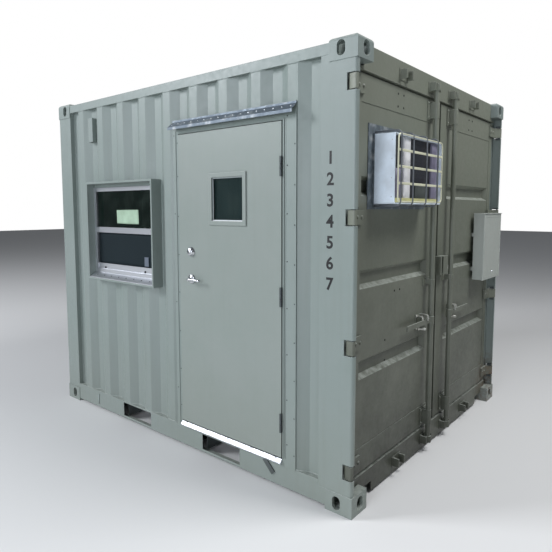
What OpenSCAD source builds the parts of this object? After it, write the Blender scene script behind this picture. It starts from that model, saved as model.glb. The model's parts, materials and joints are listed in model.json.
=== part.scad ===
// Site cabin made from a ten foot steel shipping container.
// Origin: centre of the base, level with the undersides of the corner castings.
// +X runs to the cargo door end, -Y to the side with the cabin door, +Z is up.

/* [Container] */
// Length over the corner castings
length = 2991; // [2900:1:3600]
// Width over the corner castings
width = 2438; // [2300:1:2950]
// Height over the corner castings
height = 2591; // [2560:1:3150]
// Faces of posts and rails lie this far inside the casting faces
skin_inset = 4; // [2:0.5:6]

/* [Corner castings] */
// Casting size along the container
casting_length = 178; // [170:1:190]
// Casting size across the container
casting_width = 162; // [155:1:170]
// Casting height
casting_height = 118; // [110:1:125]
// Casting wall thickness
casting_wall = 22; // [14:1:26]
// Rounding of the top edges of the upper castings
casting_round = 24; // [8:1:30]
// Length of the twistlock slot
lock_slot_length = 124.5; // [110:0.5:126]
// Width of the twistlock slot
lock_slot_width = 63.5; // [55:0.5:64]
// Distance of the slot centre from the end face
lock_slot_end = 102; // [98:1:104]
// Distance of the slot centre from the side face
lock_slot_side = 89.5; // [86:0.5:92]
// Height of the handling holes in the casting faces
hand_hole_height = 80; // [60:1:84]
// Width of the handling hole in the side face
side_hole_width = 51; // [40:1:56]
// Width of the handling hole in the end face
end_hole_width = 63.5; // [50:0.5:66]

/* [Posts and rails] */
// Steel plate of posts, header and sill
plate = 6; // [4:0.5:8]
// Width of a cargo end post on the side of the container
door_post_length = 228; // [200:1:260]
// Box part of the cargo end post, along the container
door_post_box = 153; // [120:1:165]
// Depth of the posts across the container
post_depth = 75; // [60:1:90]
// Outer corner radius of the cargo end posts
post_round = 18; // [12:1:22]
// Lip that closes the cargo end post inside its corner
post_lip = 28; // [20:1:32]
// Side of the square top rails
top_rail = 60; // [50:1:70]
// Top of the top rails below the top of the castings
top_rail_drop = 21; // [18:1:30]
// Wall of the top rails
rail_wall = 4; // [3:0.5:5]
// Height of the bottom side rails
bottom_rail = 135; // [125:1:145]
// Underside of the bottom rails above the ground
rail_clearance = 20; // [12:1:30]
// Flange width of the bottom rails
rail_flange = 48; // [40:1:60]

/* [Walls and roof] */
// Thickness of the corrugated sheet
sheet = 2; // [1.5:0.1:3]
// Pitch of the wall corrugation
wall_pitch = 278; // [250:1:300]
// Depth of the side wall corrugation
wall_depth = 36; // [25:1:40]
// Width of a crest
crest = 72; // [60:1:80]
// Width of a sloped side
slope = 68; // [55:1:72]
// Centre of one hollow of the near wall, along the container
wall_phase = 103; // [60:1:140]
// Depth of the end wall corrugation
end_wall_depth = 45; // [30:1:48]
// Pitch of the roof corrugation
roof_pitch = 209; // [180:1:240]
// Depth of the roof corrugation
roof_depth = 13; // [8:1:15]
// Length over which a roof corrugation fades out towards the side rail
roof_fade = 60; // [40:1:90]

/* [Floor] */
// Thickness of the floor boards
floor_board = 28; // [20:1:35]
// Top of the floor above the ground
floor_top = 170; // [165:1:185]
// Width of a fork pocket
fork_width = 355; // [300:1:380]
// Height of a fork pocket
fork_height = 108; // [95:1:112]
// Distance of each fork pocket centre from the middle
fork_offset = 468; // [440:1:490]
// Flange width of the cross members
cross_flange = 45; // [35:1:50]
// Steel thickness of cross members and fork pockets
cross_plate = 4.5; // [3:0.5:6]

/* [Cabin door] */
// Width of the door leaf
door_width = 908; // [760:1:950]
// Height of the door leaf
door_height = 2002; // [1900:1:2020]
// Thickness of the door leaf
door_thickness = 45; // [38:1:50]
// Hinge edge of the door along the container
door_hinge_x = 1000; // [980:1:1030]
// Underside of the door above the ground
door_base = 201; // [198:1:215]
// Gap around the door leaf
door_gap = 5; // [4:0.5:6]
// Width of the door jamb beside the gap
jamb = 20; // [16:1:28]
// Width of the tube that frames the door opening
door_tube = 30; // [24:1:40]
// Width of the flat casing on the hinge side
casing = 84; // [70:1:90]
// Width of the casing on the lever side
casing_free = 30; // [24:1:60]
// Height of the casing over the door
casing_top = 72; // [60:1:84]
// Thickness of the casing
casing_plate = 5; // [3:0.5:6]
// Width of the outer edge of the small door window
lite_width = 332; // [260:1:380]
// Height of the small door window
lite_height = 336; // [260:1:380]
// Height of the centre of the small door window
lite_z = 1764; // [1650:1:1850]
// Width of the small window's frame
lite_frame = 30; // [20:1:40]
// Height of the door lever
lever_z = 1226; // [1150:1:1280]
// Height of the dead bolt
bolt_z = 1412; // [1340:1:1480]
// Distance of lever and bolt from the free edge of the door
backset = 122; // [90:1:130]
// Length of the lever
lever_length = 112; // [90:1:130]
// Radius of the hinge knuckles of the cabin door
knuckle_r = 8; // [6:0.5:10]
// Height of a cabin door hinge
knuckle_height = 115; // [90:1:130]

/* [Drip cap and threshold] */
// Depth of the drip cap in front of the casing
cap_depth = 45; // [30:1:70]
// Height of the drip cap
cap_height = 55; // [40:1:70]
// Height of the threshold
threshold_height = 28; // [20:1:30]

/* [Window] */
// Width of the window surround
window_width = 864; // [780:1:900]
// Height of the window surround
window_height = 786; // [700:1:860]
// Centre of the window along the container
window_x = -590; // [-640:1:-560]
// Centre of the window above the ground
window_z = 1523; // [1450:1:1600]
// Projection of the surround from the wall
window_reach = 53; // [40:1:80]
// Wall of the steel box that surrounds the window
window_wall_plate = 15; // [8:1:24]
// Window frame behind the front of the surround
window_set = 62; // [30:1:70]
// Middle of the meeting rail above the middle of the window
meeting_rise = 11; // [-20:1:40]
// Height of the meeting rail
meeting_height = 44; // [30:1:56]
// Width of the aluminium window frame
sash_frame = 30; // [22:1:40]
// Thickness of the window glass
glass = 4; // [3:0.5:6]

/* [Cargo doors] */
// Outer face of the leaves inside the casting faces
leaf_recess = 63.5; // [60:0.5:66]
// Thickness of a leaf
leaf_thickness = 50; // [40:1:56]
// Gap between leaf and frame
leaf_gap = 10; // [8:1:12]
// Gap between each leaf and the middle line
middle_gap = 12; // [9:1:14]
// Top and bottom bars of a leaf
leaf_bar = 151; // [120:1:160]
// Upright bar at the hinge side
hinge_stile = 63; // [50:1:75]
// Upright bar at the lock side
lock_stile = 100; // [80:1:110]
// Sheet of the leaf panel
leaf_sheet = 3; // [2:0.5:4]
// Panel face behind the face of the bars
panel_set = 3; // [0:0.5:5]
// Height of a pressed channel
channel_height = 108; // [80:1:130]
// Depth of a pressed channel
channel_depth = 34; // [20:1:38]
// Distance between the pressed channels
channel_pitch = 522; // [450:1:540]
// Height of the middle channel
channel_z = 1306; // [1280:1:1320]
// Reach of the panel's flat edge beside the channels
channel_inset = 50; // [30:1:60]
// Thickness of the door gasket
gasket = 4; // [3:0.5:5]

/* [Cargo door hinges] */
// Hinge pin inside the end face
pin_end = 18.5; // [18:0.5:27]
// Hinge pin inside the side face
pin_side = 18; // [18:0.5:27]
// Radius of the hinge pins
pin_r = 7; // [6:0.5:7]
// Radius of the hinge knuckle
hinge_r = 14; // [12:0.5:14]
// Height of a hinge knuckle
hinge_height = 78; // [60:1:90]
// Height of the lowest hinge
hinge_low = 254; // [240:1:280]
// Highest hinge below the top of the leaf
hinge_drop = 74; // [66:1:120]
// Length of the hinge blade on the leaf
blade_length = 150; // [120:1:180]
// Thickness of the hinge blade
blade = 14; // [10:1:16]

/* [Lock rods] */
// Radius of the lock rods
rod_r = 17; // [13:0.5:18]
// Lock rod axis inside the end face
rod_end = 20.5; // [19:0.5:22]
// Distance of the lock rods from the middle line
rod_y = 168; // [150:1:200]
// Distance of the unused keepers from the middle line
spare_keeper_y = 590; // [540:1:640]
// Upper cams above the underside of the header
cam_rise = 64; // [56:1:72]
// Height of the lower cams
lower_cam_z = 90; // [86:1:96]
// Reach of a cam from the rod axis
cam_reach = 25; // [22:1:26]
// Width of a keeper
keeper_width = 116; // [100:1:130]
// Height of a keeper
keeper_height = 66; // [50:1:70]
// Height of the handles
handle_z = 940; // [900:1:980]
// Length of a handle
handle_length = 372; // [320:1:400]
// Distance of the handle catch from the rod
catch_y = 107; // [90:1:140]
// Height of the lock box
lock_box_height = 132; // [100:1:150]
// Depth of the lock box
lock_box_depth = 50; // [40:1:70]
// Reach of the lock box on the right leaf from the middle gap
lock_box_reach = 83; // [60:1:84]
// Reach of the lock box on the left leaf from the middle gap
lock_box_lip = 22; // [16:1:40]

/* [Air conditioner] */
// Width of the cabinet
ac_width = 645; // [560:1:660]
// Height of the cabinet
ac_height = 390; // [340:1:410]
// Distance of the cabinet from the hinge side bar of the leaf
ac_stile_gap = 132.5; // [125:0.5:145]
// Centre of the cabinet above the ground
ac_z = 1925; // [1900:1:1950]
// Projection of the cabinet in front of the leaf
ac_reach = 136; // [100:1:150]
// Depth of the cabinet behind the leaf
ac_inside = 330; // [250:1:380]
// Width of the galvanised angle around the cabinet
ac_angle = 56; // [40:1:60]
// Width of the angle under the cabinet
ac_angle_low = 30; // [24:1:50]
// Thickness of that angle
angle_plate = 4; // [3:0.5:5]
// Distance of the guard from the cabinet
guard_gap = 24; // [15:1:40]
// Spacing of the guard's bent wires
hoop_pitch = 166; // [130:1:170]
// Radius of the guard wires
wire_r = 4; // [3:0.5:5]

/* [Power box] */
// Width of the power box
box_width = 425; // [360:1:440]
// Height of the power box
box_height = 535; // [450:1:580]
// Depth of the power box
box_depth = 106; // [80:1:120]
// Height of the struts behind the power box
box_strut = 30; // [20:1:41]
// Gap between the hinge blades and the power box
box_standoff = 6; // [5:1:12]
// Power box inside the outer edge of the leaf
box_edge = 7; // [4:1:20]
// Underside of the power box
box_z = 1128; // [1050:1:1200]

/* [Hidden] */
$fn = 48;
over = 1;                       // cutters run past the faces they open
half_l = length / 2;
half_w = width / 2;
face_y = half_w - skin_inset;   // outer faces of posts and side rails
blind_x = -half_l + casting_length;
door_x = half_l - door_post_length;
post_low = casting_height;
post_high = height - casting_height;
post_inner = half_w - skin_inset - post_depth;

rail_top_z = rail_clearance + bottom_rail;
top_rail_z = height - top_rail_drop;
roof_seat = top_rail_z + roof_depth;
wall_low = rail_top_z;
wall_high = top_rail_z - top_rail;
wall_face = face_y - 2;         // crests lie just inside the rail faces

leaf_face = half_l - leaf_recess;
leaf_back = leaf_face - leaf_thickness;
panel_face = leaf_face - panel_set;
leaf_outer = post_inner - leaf_gap;
frame_face = leaf_face + 8;     // header and sill face
sill_depth = 140;
sill_top = floor_top - 5;
header_low = height - 151;
leaf_low = sill_top + leaf_gap;
leaf_high = header_low - leaf_gap;
panel_low = leaf_low + leaf_bar;
panel_high = leaf_high - leaf_bar;
panel_in = middle_gap + lock_stile;
panel_out = leaf_outer - hinge_stile;

pin_x = half_l - pin_end;
pin_y = half_w - pin_side;
hinge_step = (leaf_high - hinge_drop - hinge_low) / 3;
hinge_slot = hinge_height + 10;
lug = 12;

rod_x = half_l - rod_end;
cam_height = keeper_height - 20;
upper_cam_z = header_low + cam_rise;

door_free_x = door_hinge_x - door_width;
door_top = door_base + door_height;
frame_left = door_free_x - door_gap - jamb - door_tube;
frame_right = door_hinge_x + door_gap + jamb + door_tube;
frame_top = door_top + door_gap + jamb + door_tube;
door_face = face_y + casing_plate + 1;
door_middle = (door_free_x + door_hinge_x) / 2;
door_pin_x = door_hinge_x + door_gap / 2;
door_pin_y = door_face + knuckle_r;
door_pin_r = knuckle_r / 2;
casing_left = door_free_x - door_gap - jamb - casing_free;
casing_right = door_hinge_x + door_gap + jamb + casing;
casing_high = door_top + door_gap + jamb + casing_top;
knuckle_middle = knuckle_height / 3;
frame_depth = rail_flange;      // the door frame stands on the rail's flange

window_left = window_x - window_width / 2;
window_right = window_x + window_width / 2;
window_low = window_z - window_height / 2;
window_high = window_z + window_height / 2;
window_face = face_y + window_reach - 4;
window_back = wall_face - wall_depth - 14;
sash_front = window_face - window_set;
meeting_z = window_z + meeting_rise - meeting_height / 2;
head_z = window_high - window_wall_plate - 28;
sash_z = window_low + window_wall_plate + 2.3 * sash_frame;
sash_rail = 1.5 * sash_frame;
ac_y = panel_out - ac_stile_gap - ac_width / 2;
box_y = leaf_outer - box_edge - box_width / 2;

painted = [0.57, 0.62, 0.6];
shaded = [0.5, 0.54, 0.52];
zinc = [0.66, 0.7, 0.75];
alloy = [0.72, 0.74, 0.78];
black = [0.08, 0.08, 0.09];
white = [0.86, 0.88, 0.9];
pane = [0.35, 0.42, 0.48, 0.5];
timber = [0.55, 0.42, 0.28];

// ---- helpers -------------------------------------------------------------

// The child and its mirror image on the other long side
module both_sides() {
    children();
    mirror([0, 1, 0]) children();
}

// The child and its mirror image at the other end
module both_ends() {
    children();
    mirror([1, 0, 0]) children();
}

// Moves a drawing for the far side to the near side
module near_side() {
    mirror([0, 1, 0]) children();
}

// Extrudes a drawing of (across, up) along the container
module along_x(size) {
    rotate([90, 0, 90]) linear_extrude(size) children();
}

// Extrudes a drawing of (along, up) towards -Y, from y = 0
module along_y(size) {
    rotate([90, 0, 0]) linear_extrude(size) children();
}

// A box given by its lowest and highest corners
module block(low, high) {
    translate(low) cube(high - low);
}

// A flat slot with round ends
module slot(long, wide) {
    square([long - wide, wide], center = true);
    for (side = [-1, 1]) translate([side * (long - wide) / 2, 0]) circle(d = wide);
}

// Rectangle whose two upper corners are round
module crowned(wide, high, r) {
    square([wide, high - r]);
    translate([r, 0]) square([wide - 2 * r, high]);
    for (x = [r, wide - r]) translate([x, high - r]) circle(r);
}

// One corrugated sheet between two ends: crests at 0, hollows at -depth
function wave_at(s, pitch, top, side, depth) =
    let (half_hollow = (pitch - top) / 2 - side, d = abs(s - pitch * round(s / pitch)))
    d <= half_hollow ? -depth
    : d >= half_hollow + side ? 0
    : -depth * (1 - (d - half_hollow) / side);
function wave_breaks(low, high, phase, pitch, top, side) =
    let (half_hollow = (pitch - top) / 2 - side,
         first = floor((low - phase) / pitch) - 1,
         last = ceil((high - phase) / pitch) + 1)
    [low,
     for (i = [first:last], d = [-half_hollow - side, -half_hollow, half_hollow, half_hollow + side])
         let (s = phase + i * pitch + d) if (s > low + 1 && s < high - 1) s,
     high];
module corrugated(low, high, phase, pitch, top, side, depth, thick) {
    breaks = wave_breaks(low, high, phase, pitch, top, side);
    line = [for (s = breaks) [s, wave_at(s - phase, pitch, top, side, depth)]];
    count = len(line);
    back = [for (i = [count - 1:-1:0]) [line[i][0], line[i][1] - thick]];
    polygon(concat(line, back));
}

// A wall sheet on the far side between two x positions and two heights
module side_sheet(low, high, bottom, top, phase) {
    translate([0, wall_face, bottom]) linear_extrude(top - bottom)
        corrugated(low, high, phase, wall_pitch, crest, slope, wall_depth, sheet);
}

// ---- corner castings -----------------------------------------------------

// Casting with its outer corner at the origin; shape is cut by the apertures
module casting_apertures() {
    translate([-lock_slot_end, -lock_slot_side, -over])
        linear_extrude(casting_height / 2) slot(lock_slot_length, lock_slot_width);
    translate([-lock_slot_end, casting_wall, casting_height / 2])
        rotate([90, 0, 0]) linear_extrude(3 * casting_wall)
            rotate(90) slot(hand_hole_height, side_hole_width);
    translate([-2 * casting_wall, -lock_slot_side, casting_height / 2])
        rotate([90, 0, 90]) linear_extrude(3 * casting_wall)
            rotate(90) slot(hand_hole_height, end_hole_width);
}

module casting_cavity() {
    translate([-casting_length + casting_wall, -casting_width + casting_wall, casting_wall])
        cube([casting_length - 2 * casting_wall, casting_width - 2 * casting_wall,
              casting_height - 2 * casting_wall]);
}

module bottom_corner_castings() {
    color(painted) both_sides() both_ends() translate([half_l, half_w, 0]) difference() {
        translate([-casting_length, -casting_width, 0])
            cube([casting_length, casting_width, casting_height]);
        casting_cavity();
        casting_apertures();
    }
}

module top_corner_castings() {
    color(painted) both_sides() both_ends() translate([half_l, half_w, height]) mirror([0, 0, 1])
        difference() {
            intersection() {
                translate([-casting_length, 0, casting_height]) mirror([0, 0, 1])
                    along_y(casting_width) crowned(casting_length, casting_height, casting_round);
                translate([-casting_length, -casting_width, casting_height]) mirror([0, 0, 1])
                    along_x(casting_length) crowned(casting_width, casting_height, casting_round);
            }
            casting_cavity();
            casting_apertures();
        }
}

// ---- posts, rails, header and sill ----------------------------------------

// Section of a cargo end post, with its outer corner at the origin
module cargo_post_section() {
    outer = -skin_inset;
    corner = [outer - post_round, outer - post_round];
    difference() {
        translate([-door_post_length, outer - post_depth]) square([door_post_box, post_depth]);
        translate([-door_post_length + plate, outer - post_depth + plate])
            square([door_post_box - 2 * plate, post_depth - 2 * plate]);
    }
    translate([-door_post_length, outer - plate])
        square([door_post_length + corner[0], plate]);
    translate([outer - plate, outer - post_lip]) square([plate, post_lip - post_round]);
    intersection() {
        difference() {
            translate(corner) circle(post_round);
            translate(corner) circle(post_round - plate);
        }
        translate(corner) square(post_round);
    }
}

// Heights of the four hinges of a leaf
function hinge_heights() = [for (i = [0:3]) hinge_low + i * hinge_step];

module cargo_end_posts() {
    notch = pin_end + hinge_r + 32;
    color(painted) both_sides() translate([half_l, half_w, 0]) difference() {
        union() {
            translate([0, 0, post_low]) linear_extrude(post_high - post_low) cargo_post_section();
            block([-door_post_length, -skin_inset - post_depth, post_high],
                  [-casting_length, -skin_inset, wall_high]);
        }
        for (z = hinge_heights()) translate([-notch, -post_lip - 2 * plate, z - hinge_slot / 2])
            cube([notch + over, post_lip + 3 * plate, hinge_slot]);
    }
}

module top_side_rails() {
    color(painted) both_sides() translate([blind_x, face_y - top_rail, wall_high])
        along_x(-2 * blind_x) difference() {
            square(top_rail);
            translate([rail_wall, rail_wall]) square(top_rail - 2 * rail_wall);
        }
}

// Cuts the fork pockets through both side rails
module fork_cuts() {
    for (side = [-1, 1]) translate([side * fork_offset - fork_width / 2, -half_w, rail_clearance + 17])
        cube([fork_width, width, fork_height]);
}

module bottom_side_rails() {
    web = face_y - cross_plate;
    color(painted) difference() {
        both_sides() {
            block([blind_x, web, rail_clearance], [door_x, face_y, rail_top_z]);
            block([door_x - over, web, rail_clearance], [-blind_x, face_y, casting_height]);
            block([blind_x, face_y - rail_flange, rail_top_z - cross_plate],
                  [door_x, face_y, rail_top_z]);
            block([blind_x, face_y - rail_flange, rail_clearance],
                  [door_x, face_y, rail_clearance + cross_plate]);
        }
        fork_cuts();
    }
}

module cargo_end_header() {
    end_in = half_w - casting_width;
    depth = 68;
    lip = 6;
    front = frame_face - plate;
    color(shaded) {
        translate([front, 0, 0]) along_x(plate) polygon([
            [-post_inner, header_low], [post_inner, header_low], [end_in, post_high],
            [end_in, roof_seat], [-end_in, roof_seat], [-end_in, post_high]]);
        block([frame_face - depth, -post_inner, header_low], [front, post_inner, header_low + plate]);
        block([frame_face - depth, -end_in, roof_seat - plate], [front, end_in, roof_seat]);
        block([frame_face, -post_inner + plate, header_low],
              [frame_face + lip, post_inner - plate, header_low + lip]);
    }
}

module cargo_end_sill() {
    end_in = half_w - casting_width;
    low = 15;
    notch_w = 150;
    notch_h = 60;
    front = frame_face - plate;
    color(shaded) {
        difference() {
            block([front, -post_inner, low], [frame_face, post_inner, sill_top]);
            both_sides() {
                block([front - over, end_in, low - over],
                      [frame_face + over, post_inner + over, casting_height]);
                block([front - over, end_in - notch_w, low - over],
                      [frame_face + over, post_inner + over, low + notch_h]);
            }
        }
        block([frame_face - sill_depth, -post_inner, sill_top - plate], [front, post_inner, sill_top]);
        block([frame_face - sill_depth, -end_in, low],
              [frame_face - sill_depth + plate, end_in, sill_top - plate]);
    }
}

// Posts and rails of the blind end
module blind_end_frame() {
    end_in = half_w - casting_width;
    face = -half_l + skin_inset;
    color(painted) {
        both_sides() translate([face, face_y - post_depth, post_low])
            linear_extrude(post_high - post_low) difference() {
                square([casting_length - skin_inset, post_depth]);
                translate([plate, plate])
                    square([casting_length - skin_inset - 2 * plate, post_depth - 2 * plate]);
            }
        block([face, -end_in, 15], [face + plate, end_in, rail_top_z]);
        block([face + plate, -end_in, rail_top_z - plate], [face + rail_flange, end_in, rail_top_z]);
        translate([face, end_in, post_high]) along_y(2 * end_in) difference() {
            square([top_rail, top_rail_z - post_high]);
            translate([rail_wall, rail_wall])
                square([top_rail - 2 * rail_wall, top_rail_z - post_high - 2 * rail_wall]);
        }
    }
}

// ---- sheets ----------------------------------------------------------------

// What lies under a line of (along, up) points, between two y positions, under a slope
// that sinks from the corrugation's depth to nothing; rise lifts both, foot is the underside
module fading(line, end, from, to, rise, foot) {
    back = from + foot;
    intersection() {
        translate([0, to, top_rail_z]) along_y(to - back) polygon(concat(
            [[-end, foot]], [for (p = line) p + [0, rise]], [[end, foot]]));
        translate([-end, 0, top_rail_z]) along_x(2 * end) polygon([
            [back, foot], [to, foot], [to, rise], [from, roof_depth + rise], [back, roof_depth + rise]]);
    }
}

// Margin of the roof sheet on the far side, where the corrugations fade to the rail
module roof_margin(line, end, from, to) {
    block([-end, from, top_rail_z], [end, to, top_rail_z + sheet]);
    difference() {
        fading(line, end, from, to, sheet, 0);
        fading(line, end, from, to, 0, -5);
    }
}

module roof_panel() {
    end = half_l - casting_length - 2;
    side = face_y - 6;
    strip_side = half_w - casting_width - 2;
    slant = 18;
    crest_half = (roof_pitch / 2 - slant) / 2;
    strip_gap = 1;
    phase = end + crest_half - roof_pitch / 2;
    line = [for (s = wave_breaks(-end, end, phase, roof_pitch, 2 * crest_half, slant))
        [s, roof_depth + wave_at(s - phase, roof_pitch, 2 * crest_half, slant, roof_depth)]];
    color(painted) {
        translate([0, side - roof_fade, roof_seat + sheet]) along_y(2 * (side - roof_fade))
            corrugated(-end, end, phase, roof_pitch, 2 * crest_half, slant, roof_depth, sheet);
        both_sides() roof_margin(line, end, side - roof_fade, side);
        // flat strips between the castings
        block([end + strip_gap, -strip_side, roof_seat],
              [leaf_face - leaf_thickness + 18, strip_side, roof_seat + sheet]);
        block([-half_l + skin_inset + 2, -strip_side, top_rail_z],
              [-end - strip_gap, strip_side, top_rail_z + sheet]);
        block([-end - strip_gap - sheet, -strip_side, top_rail_z],
              [-end - strip_gap, strip_side, roof_seat + sheet]);
    }
}

module window_wall() {
    low = blind_x;
    color(painted) near_side() difference() {
        side_sheet(low, frame_left, wall_low, wall_high, wall_phase);
        block([window_left, wall_face - 2 * wall_depth, window_low],
              [window_right, half_w + over, window_high]);
    }
}

module wall_over_door() {
    color(painted) near_side()
        side_sheet(frame_left, frame_right, frame_top, wall_high, wall_phase);
}

module wall_beside_door() {
    color(painted) near_side()
        side_sheet(frame_right, door_x, wall_low, wall_high, wall_phase);
}

module plain_side_wall() {
    color(painted) side_sheet(blind_x, door_x, wall_low, wall_high, wall_phase);
}

module blind_end_wall() {
    face = half_l - skin_inset - 2;
    color(painted) rotate(90) translate([0, face, wall_low])
        linear_extrude(post_high - wall_low)
            corrugated(-post_inner, post_inner, 0, wall_pitch, crest, slope, end_wall_depth, sheet);
}

// ---- floor and underframe ---------------------------------------------------

// Places of the cross members along the container, clear of the fork pockets
function cross_places() =
    let (inner = fork_offset - fork_width / 2,
         outer = fork_offset + fork_width / 2,
         free = door_x - cross_flange - outer)
    [for (side = [-1, 1], x = [inner / 2, outer + 0.4 * free, outer + 0.92 * free]) side * x];

module cross_members() {
    reach = face_y - cross_plate;
    low = rail_clearance + cross_plate;
    high = floor_top - floor_board;
    color(shaded) for (x = cross_places()) translate([x - cross_flange / 2, -reach, 0]) {
        block([0, 0, low], [cross_plate, 2 * reach, high]);
        block([0, 0, low], [cross_flange, 2 * reach, low + cross_plate]);
        block([0, 0, high - cross_plate], [cross_flange, 2 * reach, high]);
    }
}

module fork_pockets() {
    fit = 0.3;
    reach = face_y - rail_flange;
    low = rail_clearance;
    high = floor_top - floor_board;
    color(shaded) for (side = [-1, 1]) translate([side * fork_offset, 0, 0]) {
        for (edge = [-1, 1]) translate([edge * (fork_width + cross_plate) / 2 - cross_plate / 2, -reach, low])
            cube([cross_plate, 2 * reach, high - low]);
        block([-fork_width / 2 + fit, -reach, high - cross_plate], [fork_width / 2 - fit, reach, high]);
    }
}

module floor_boards() {
    side = face_y - rail_flange - 2;
    between = post_inner - 2;
    low = floor_top - floor_board;
    color(timber) {
        block([blind_x + 2, -side, low], [door_x - 2, side, floor_top]);
        block([-half_l + skin_inset + rail_flange + 2, -between, low], [blind_x + 2, between, floor_top]);
        block([door_x - 2, -between, low], [frame_face - sill_depth - 2, between, floor_top]);
    }
}

// ---- cabin door opening -------------------------------------------------------

module door_frame() {
    back = face_y - frame_depth;
    front = face_y + 1;
    jamb_left = door_free_x - door_gap;
    jamb_right = door_hinge_x + door_gap;
    color(painted) near_side() {
        block([frame_left, back, wall_low], [jamb_left, front, frame_top]);
        block([jamb_right, back, wall_low], [frame_right, front, frame_top]);
        block([jamb_left, back, door_top + door_gap], [jamb_right, front, frame_top]);
        block([jamb_left, back, wall_low], [jamb_right, front, door_base - threshold_height - 8]);
        difference() {
            block([casing_left, front, wall_low], [casing_right, front + casing_plate, casing_high]);
            block([door_free_x - door_gap - jamb, front - over, wall_low - over],
                  [door_hinge_x + door_gap + jamb, front + casing_plate + over,
                   door_top + door_gap + jamb]);
        }
    }
}

module drip_cap() {
    front = face_y + 1 + casing_plate;
    low = door_top + door_gap + jamb + 6;
    color(zinc) near_side() translate([casing_left, 0, 0]) along_x(casing_right - casing_left) polygon([
        [front, low + cap_height], [front, low + cap_height - 3],
        [front + cap_depth - 2, low + 16], [front + cap_depth - 2, low],
        [front + cap_depth, low], [front + cap_depth, low + 18],
        [front + 2, low + cap_height], [front + 2, casing_high], [front, casing_high]]);
}

module threshold() {
    low = door_base - threshold_height - 8;
    high = door_base - 8;
    reach = door_face + 16;
    color(alloy) near_side() translate([door_free_x - door_gap, 0, 0])
        along_x(door_width + 2 * door_gap) polygon([
            [face_y - frame_depth, low], [reach, low], [reach, low + 8],
            [door_face - 4, high], [face_y - frame_depth, high]]);
}

// ---- window and vents ---------------------------------------------------------

// A ring of bars seen from the side
module side_ring(left, right, low, high, bar, back, front) {
    difference() {
        block([left, back, low], [right, front, high]);
        block([left + bar, back - over, low + bar], [right - bar, front + over, high - bar]);
    }
}

module window_surround() {
    color(painted) near_side() {
        side_ring(window_left, window_right, window_low, window_high,
            window_wall_plate, window_back, window_face);
        block([window_left + window_wall_plate, window_back, head_z],
              [window_right - window_wall_plate, sash_front - 8, window_high - window_wall_plate]);
    }
}

module window_frame() {
    left = window_left + window_wall_plate;
    right = window_right - window_wall_plate;
    low = window_low + window_wall_plate;
    color(alloy) near_side() {
        side_ring(left, right, low, head_z, sash_frame, window_back, sash_front);
        block([left + sash_frame, window_back + 4, meeting_z],
              [right - sash_frame, sash_front - 2, meeting_z + meeting_height]);
        block([left + sash_frame, window_back, low + sash_frame],
              [right - sash_frame, sash_front, sash_z]);
        block([left + sash_frame, window_back + 4, sash_z],
              [right - sash_frame, sash_front - 12, sash_z + sash_rail]);
        translate([left, 0, 0]) along_x(right - left) polygon([
            [sash_front, low], [window_face - 4, low], [window_face - 4, low + 5],
            [sash_front, sash_z - sash_frame]]);
    }
}

module window_glass() {
    left = window_left + window_wall_plate + sash_frame;
    right = window_right - window_wall_plate - sash_frame;
    color(pane) near_side() {
        block([left, sash_front - 16, meeting_z + meeting_height],
              [right, sash_front - 16 + glass, head_z - sash_frame]);
        block([left, sash_front - 28, sash_z + sash_rail], [right, sash_front - 28 + glass, meeting_z]);
    }
}

module wall_vents() {
    vent_w = 64;
    vent_h = 190;
    vent_z = wall_high - 265;
    deep = 40;
    x = wall_phase - 4 * wall_pitch + 2;
    floor_y = wall_face - wall_depth;
    color(painted) both_sides() translate([x, 0, 0]) difference() {
        block([-vent_w / 2, floor_y, vent_z], [vent_w / 2, floor_y + deep, vent_z + vent_h]);
        block([-vent_w / 2 + 3, floor_y + 3, vent_z - over],
              [vent_w / 2 - 3, floor_y + deep - 3, vent_z + vent_h - 3]);
    }
}

// Heights of the three hinges of the cabin door
function cabin_hinge_heights() = [door_base + 220, door_base + door_height / 2 - 16, door_top - 257];

// ---- keepers and hinge pins ------------------------------------------------------

// A keeper with two cheeks, open at the front, with the rod axis at its middle
module keeper(y, z) {
    cheek = 14;
    translate([frame_face, y, z]) {
        block([0, -keeper_width / 2, -keeper_height / 2], [5, keeper_width / 2, keeper_height / 2]);
        for (side = [-1, 1]) translate([0, side * (cam_reach + 8 + cheek / 2), 0])
            block([0, -cheek / 2, -keeper_height / 2 + 6], [46, cheek / 2, keeper_height / 2 - 6]);
    }
}

module keepers() {
    color(shaded) for (y = [-spare_keeper_y, -rod_y, rod_y, spare_keeper_y]) {
        keeper(y, upper_cam_z);
        keeper(y, lower_cam_z);
    }
}

// Lug that fills the inside corner of the post
module lug_section() {
    inner = -skin_inset - plate;
    corner = -skin_inset - post_round;
    reach = 46;
    translate([-reach, -reach]) square([reach + inner, reach + corner]);
    translate([-reach, -reach]) square([reach + corner, reach + inner]);
    translate([corner, corner]) circle(post_round - plate);
}

// Outer knuckles and pin of a cabin door hinge, with the plates on the jamb
module cabin_hinge(z) {
    translate([door_pin_x, door_pin_y, z - knuckle_height / 2]) {
        cylinder(r = door_pin_r, h = knuckle_height);
        for (low = [0, (knuckle_height + knuckle_middle) / 2 + 0.3])
            translate([0, 0, low]) {
                high = (knuckle_height - knuckle_middle) / 2 - 0.3;
                cylinder(r = knuckle_r, h = high);
                translate([0, -knuckle_r - 36, 0]) cube([door_gap / 2, knuckle_r + 36, high]);
            }
    }
}

module hinge_pins() {
    gap = 1;
    color(zinc) near_side() for (z = cabin_hinge_heights()) cabin_hinge(z);
    color(shaded) both_sides() for (z = hinge_heights()) {
        for (top = [0, 1]) mirror([0, 0, top]) translate([half_l, half_w, (top ? -z : z) + hinge_slot / 2])
            linear_extrude(lug) lug_section();
        translate([pin_x, pin_y, z - hinge_slot / 2 - gap])
            cylinder(r = pin_r, h = hinge_slot + 2 * gap);
    }
}

// ---- cabin door ---------------------------------------------------------------

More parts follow.
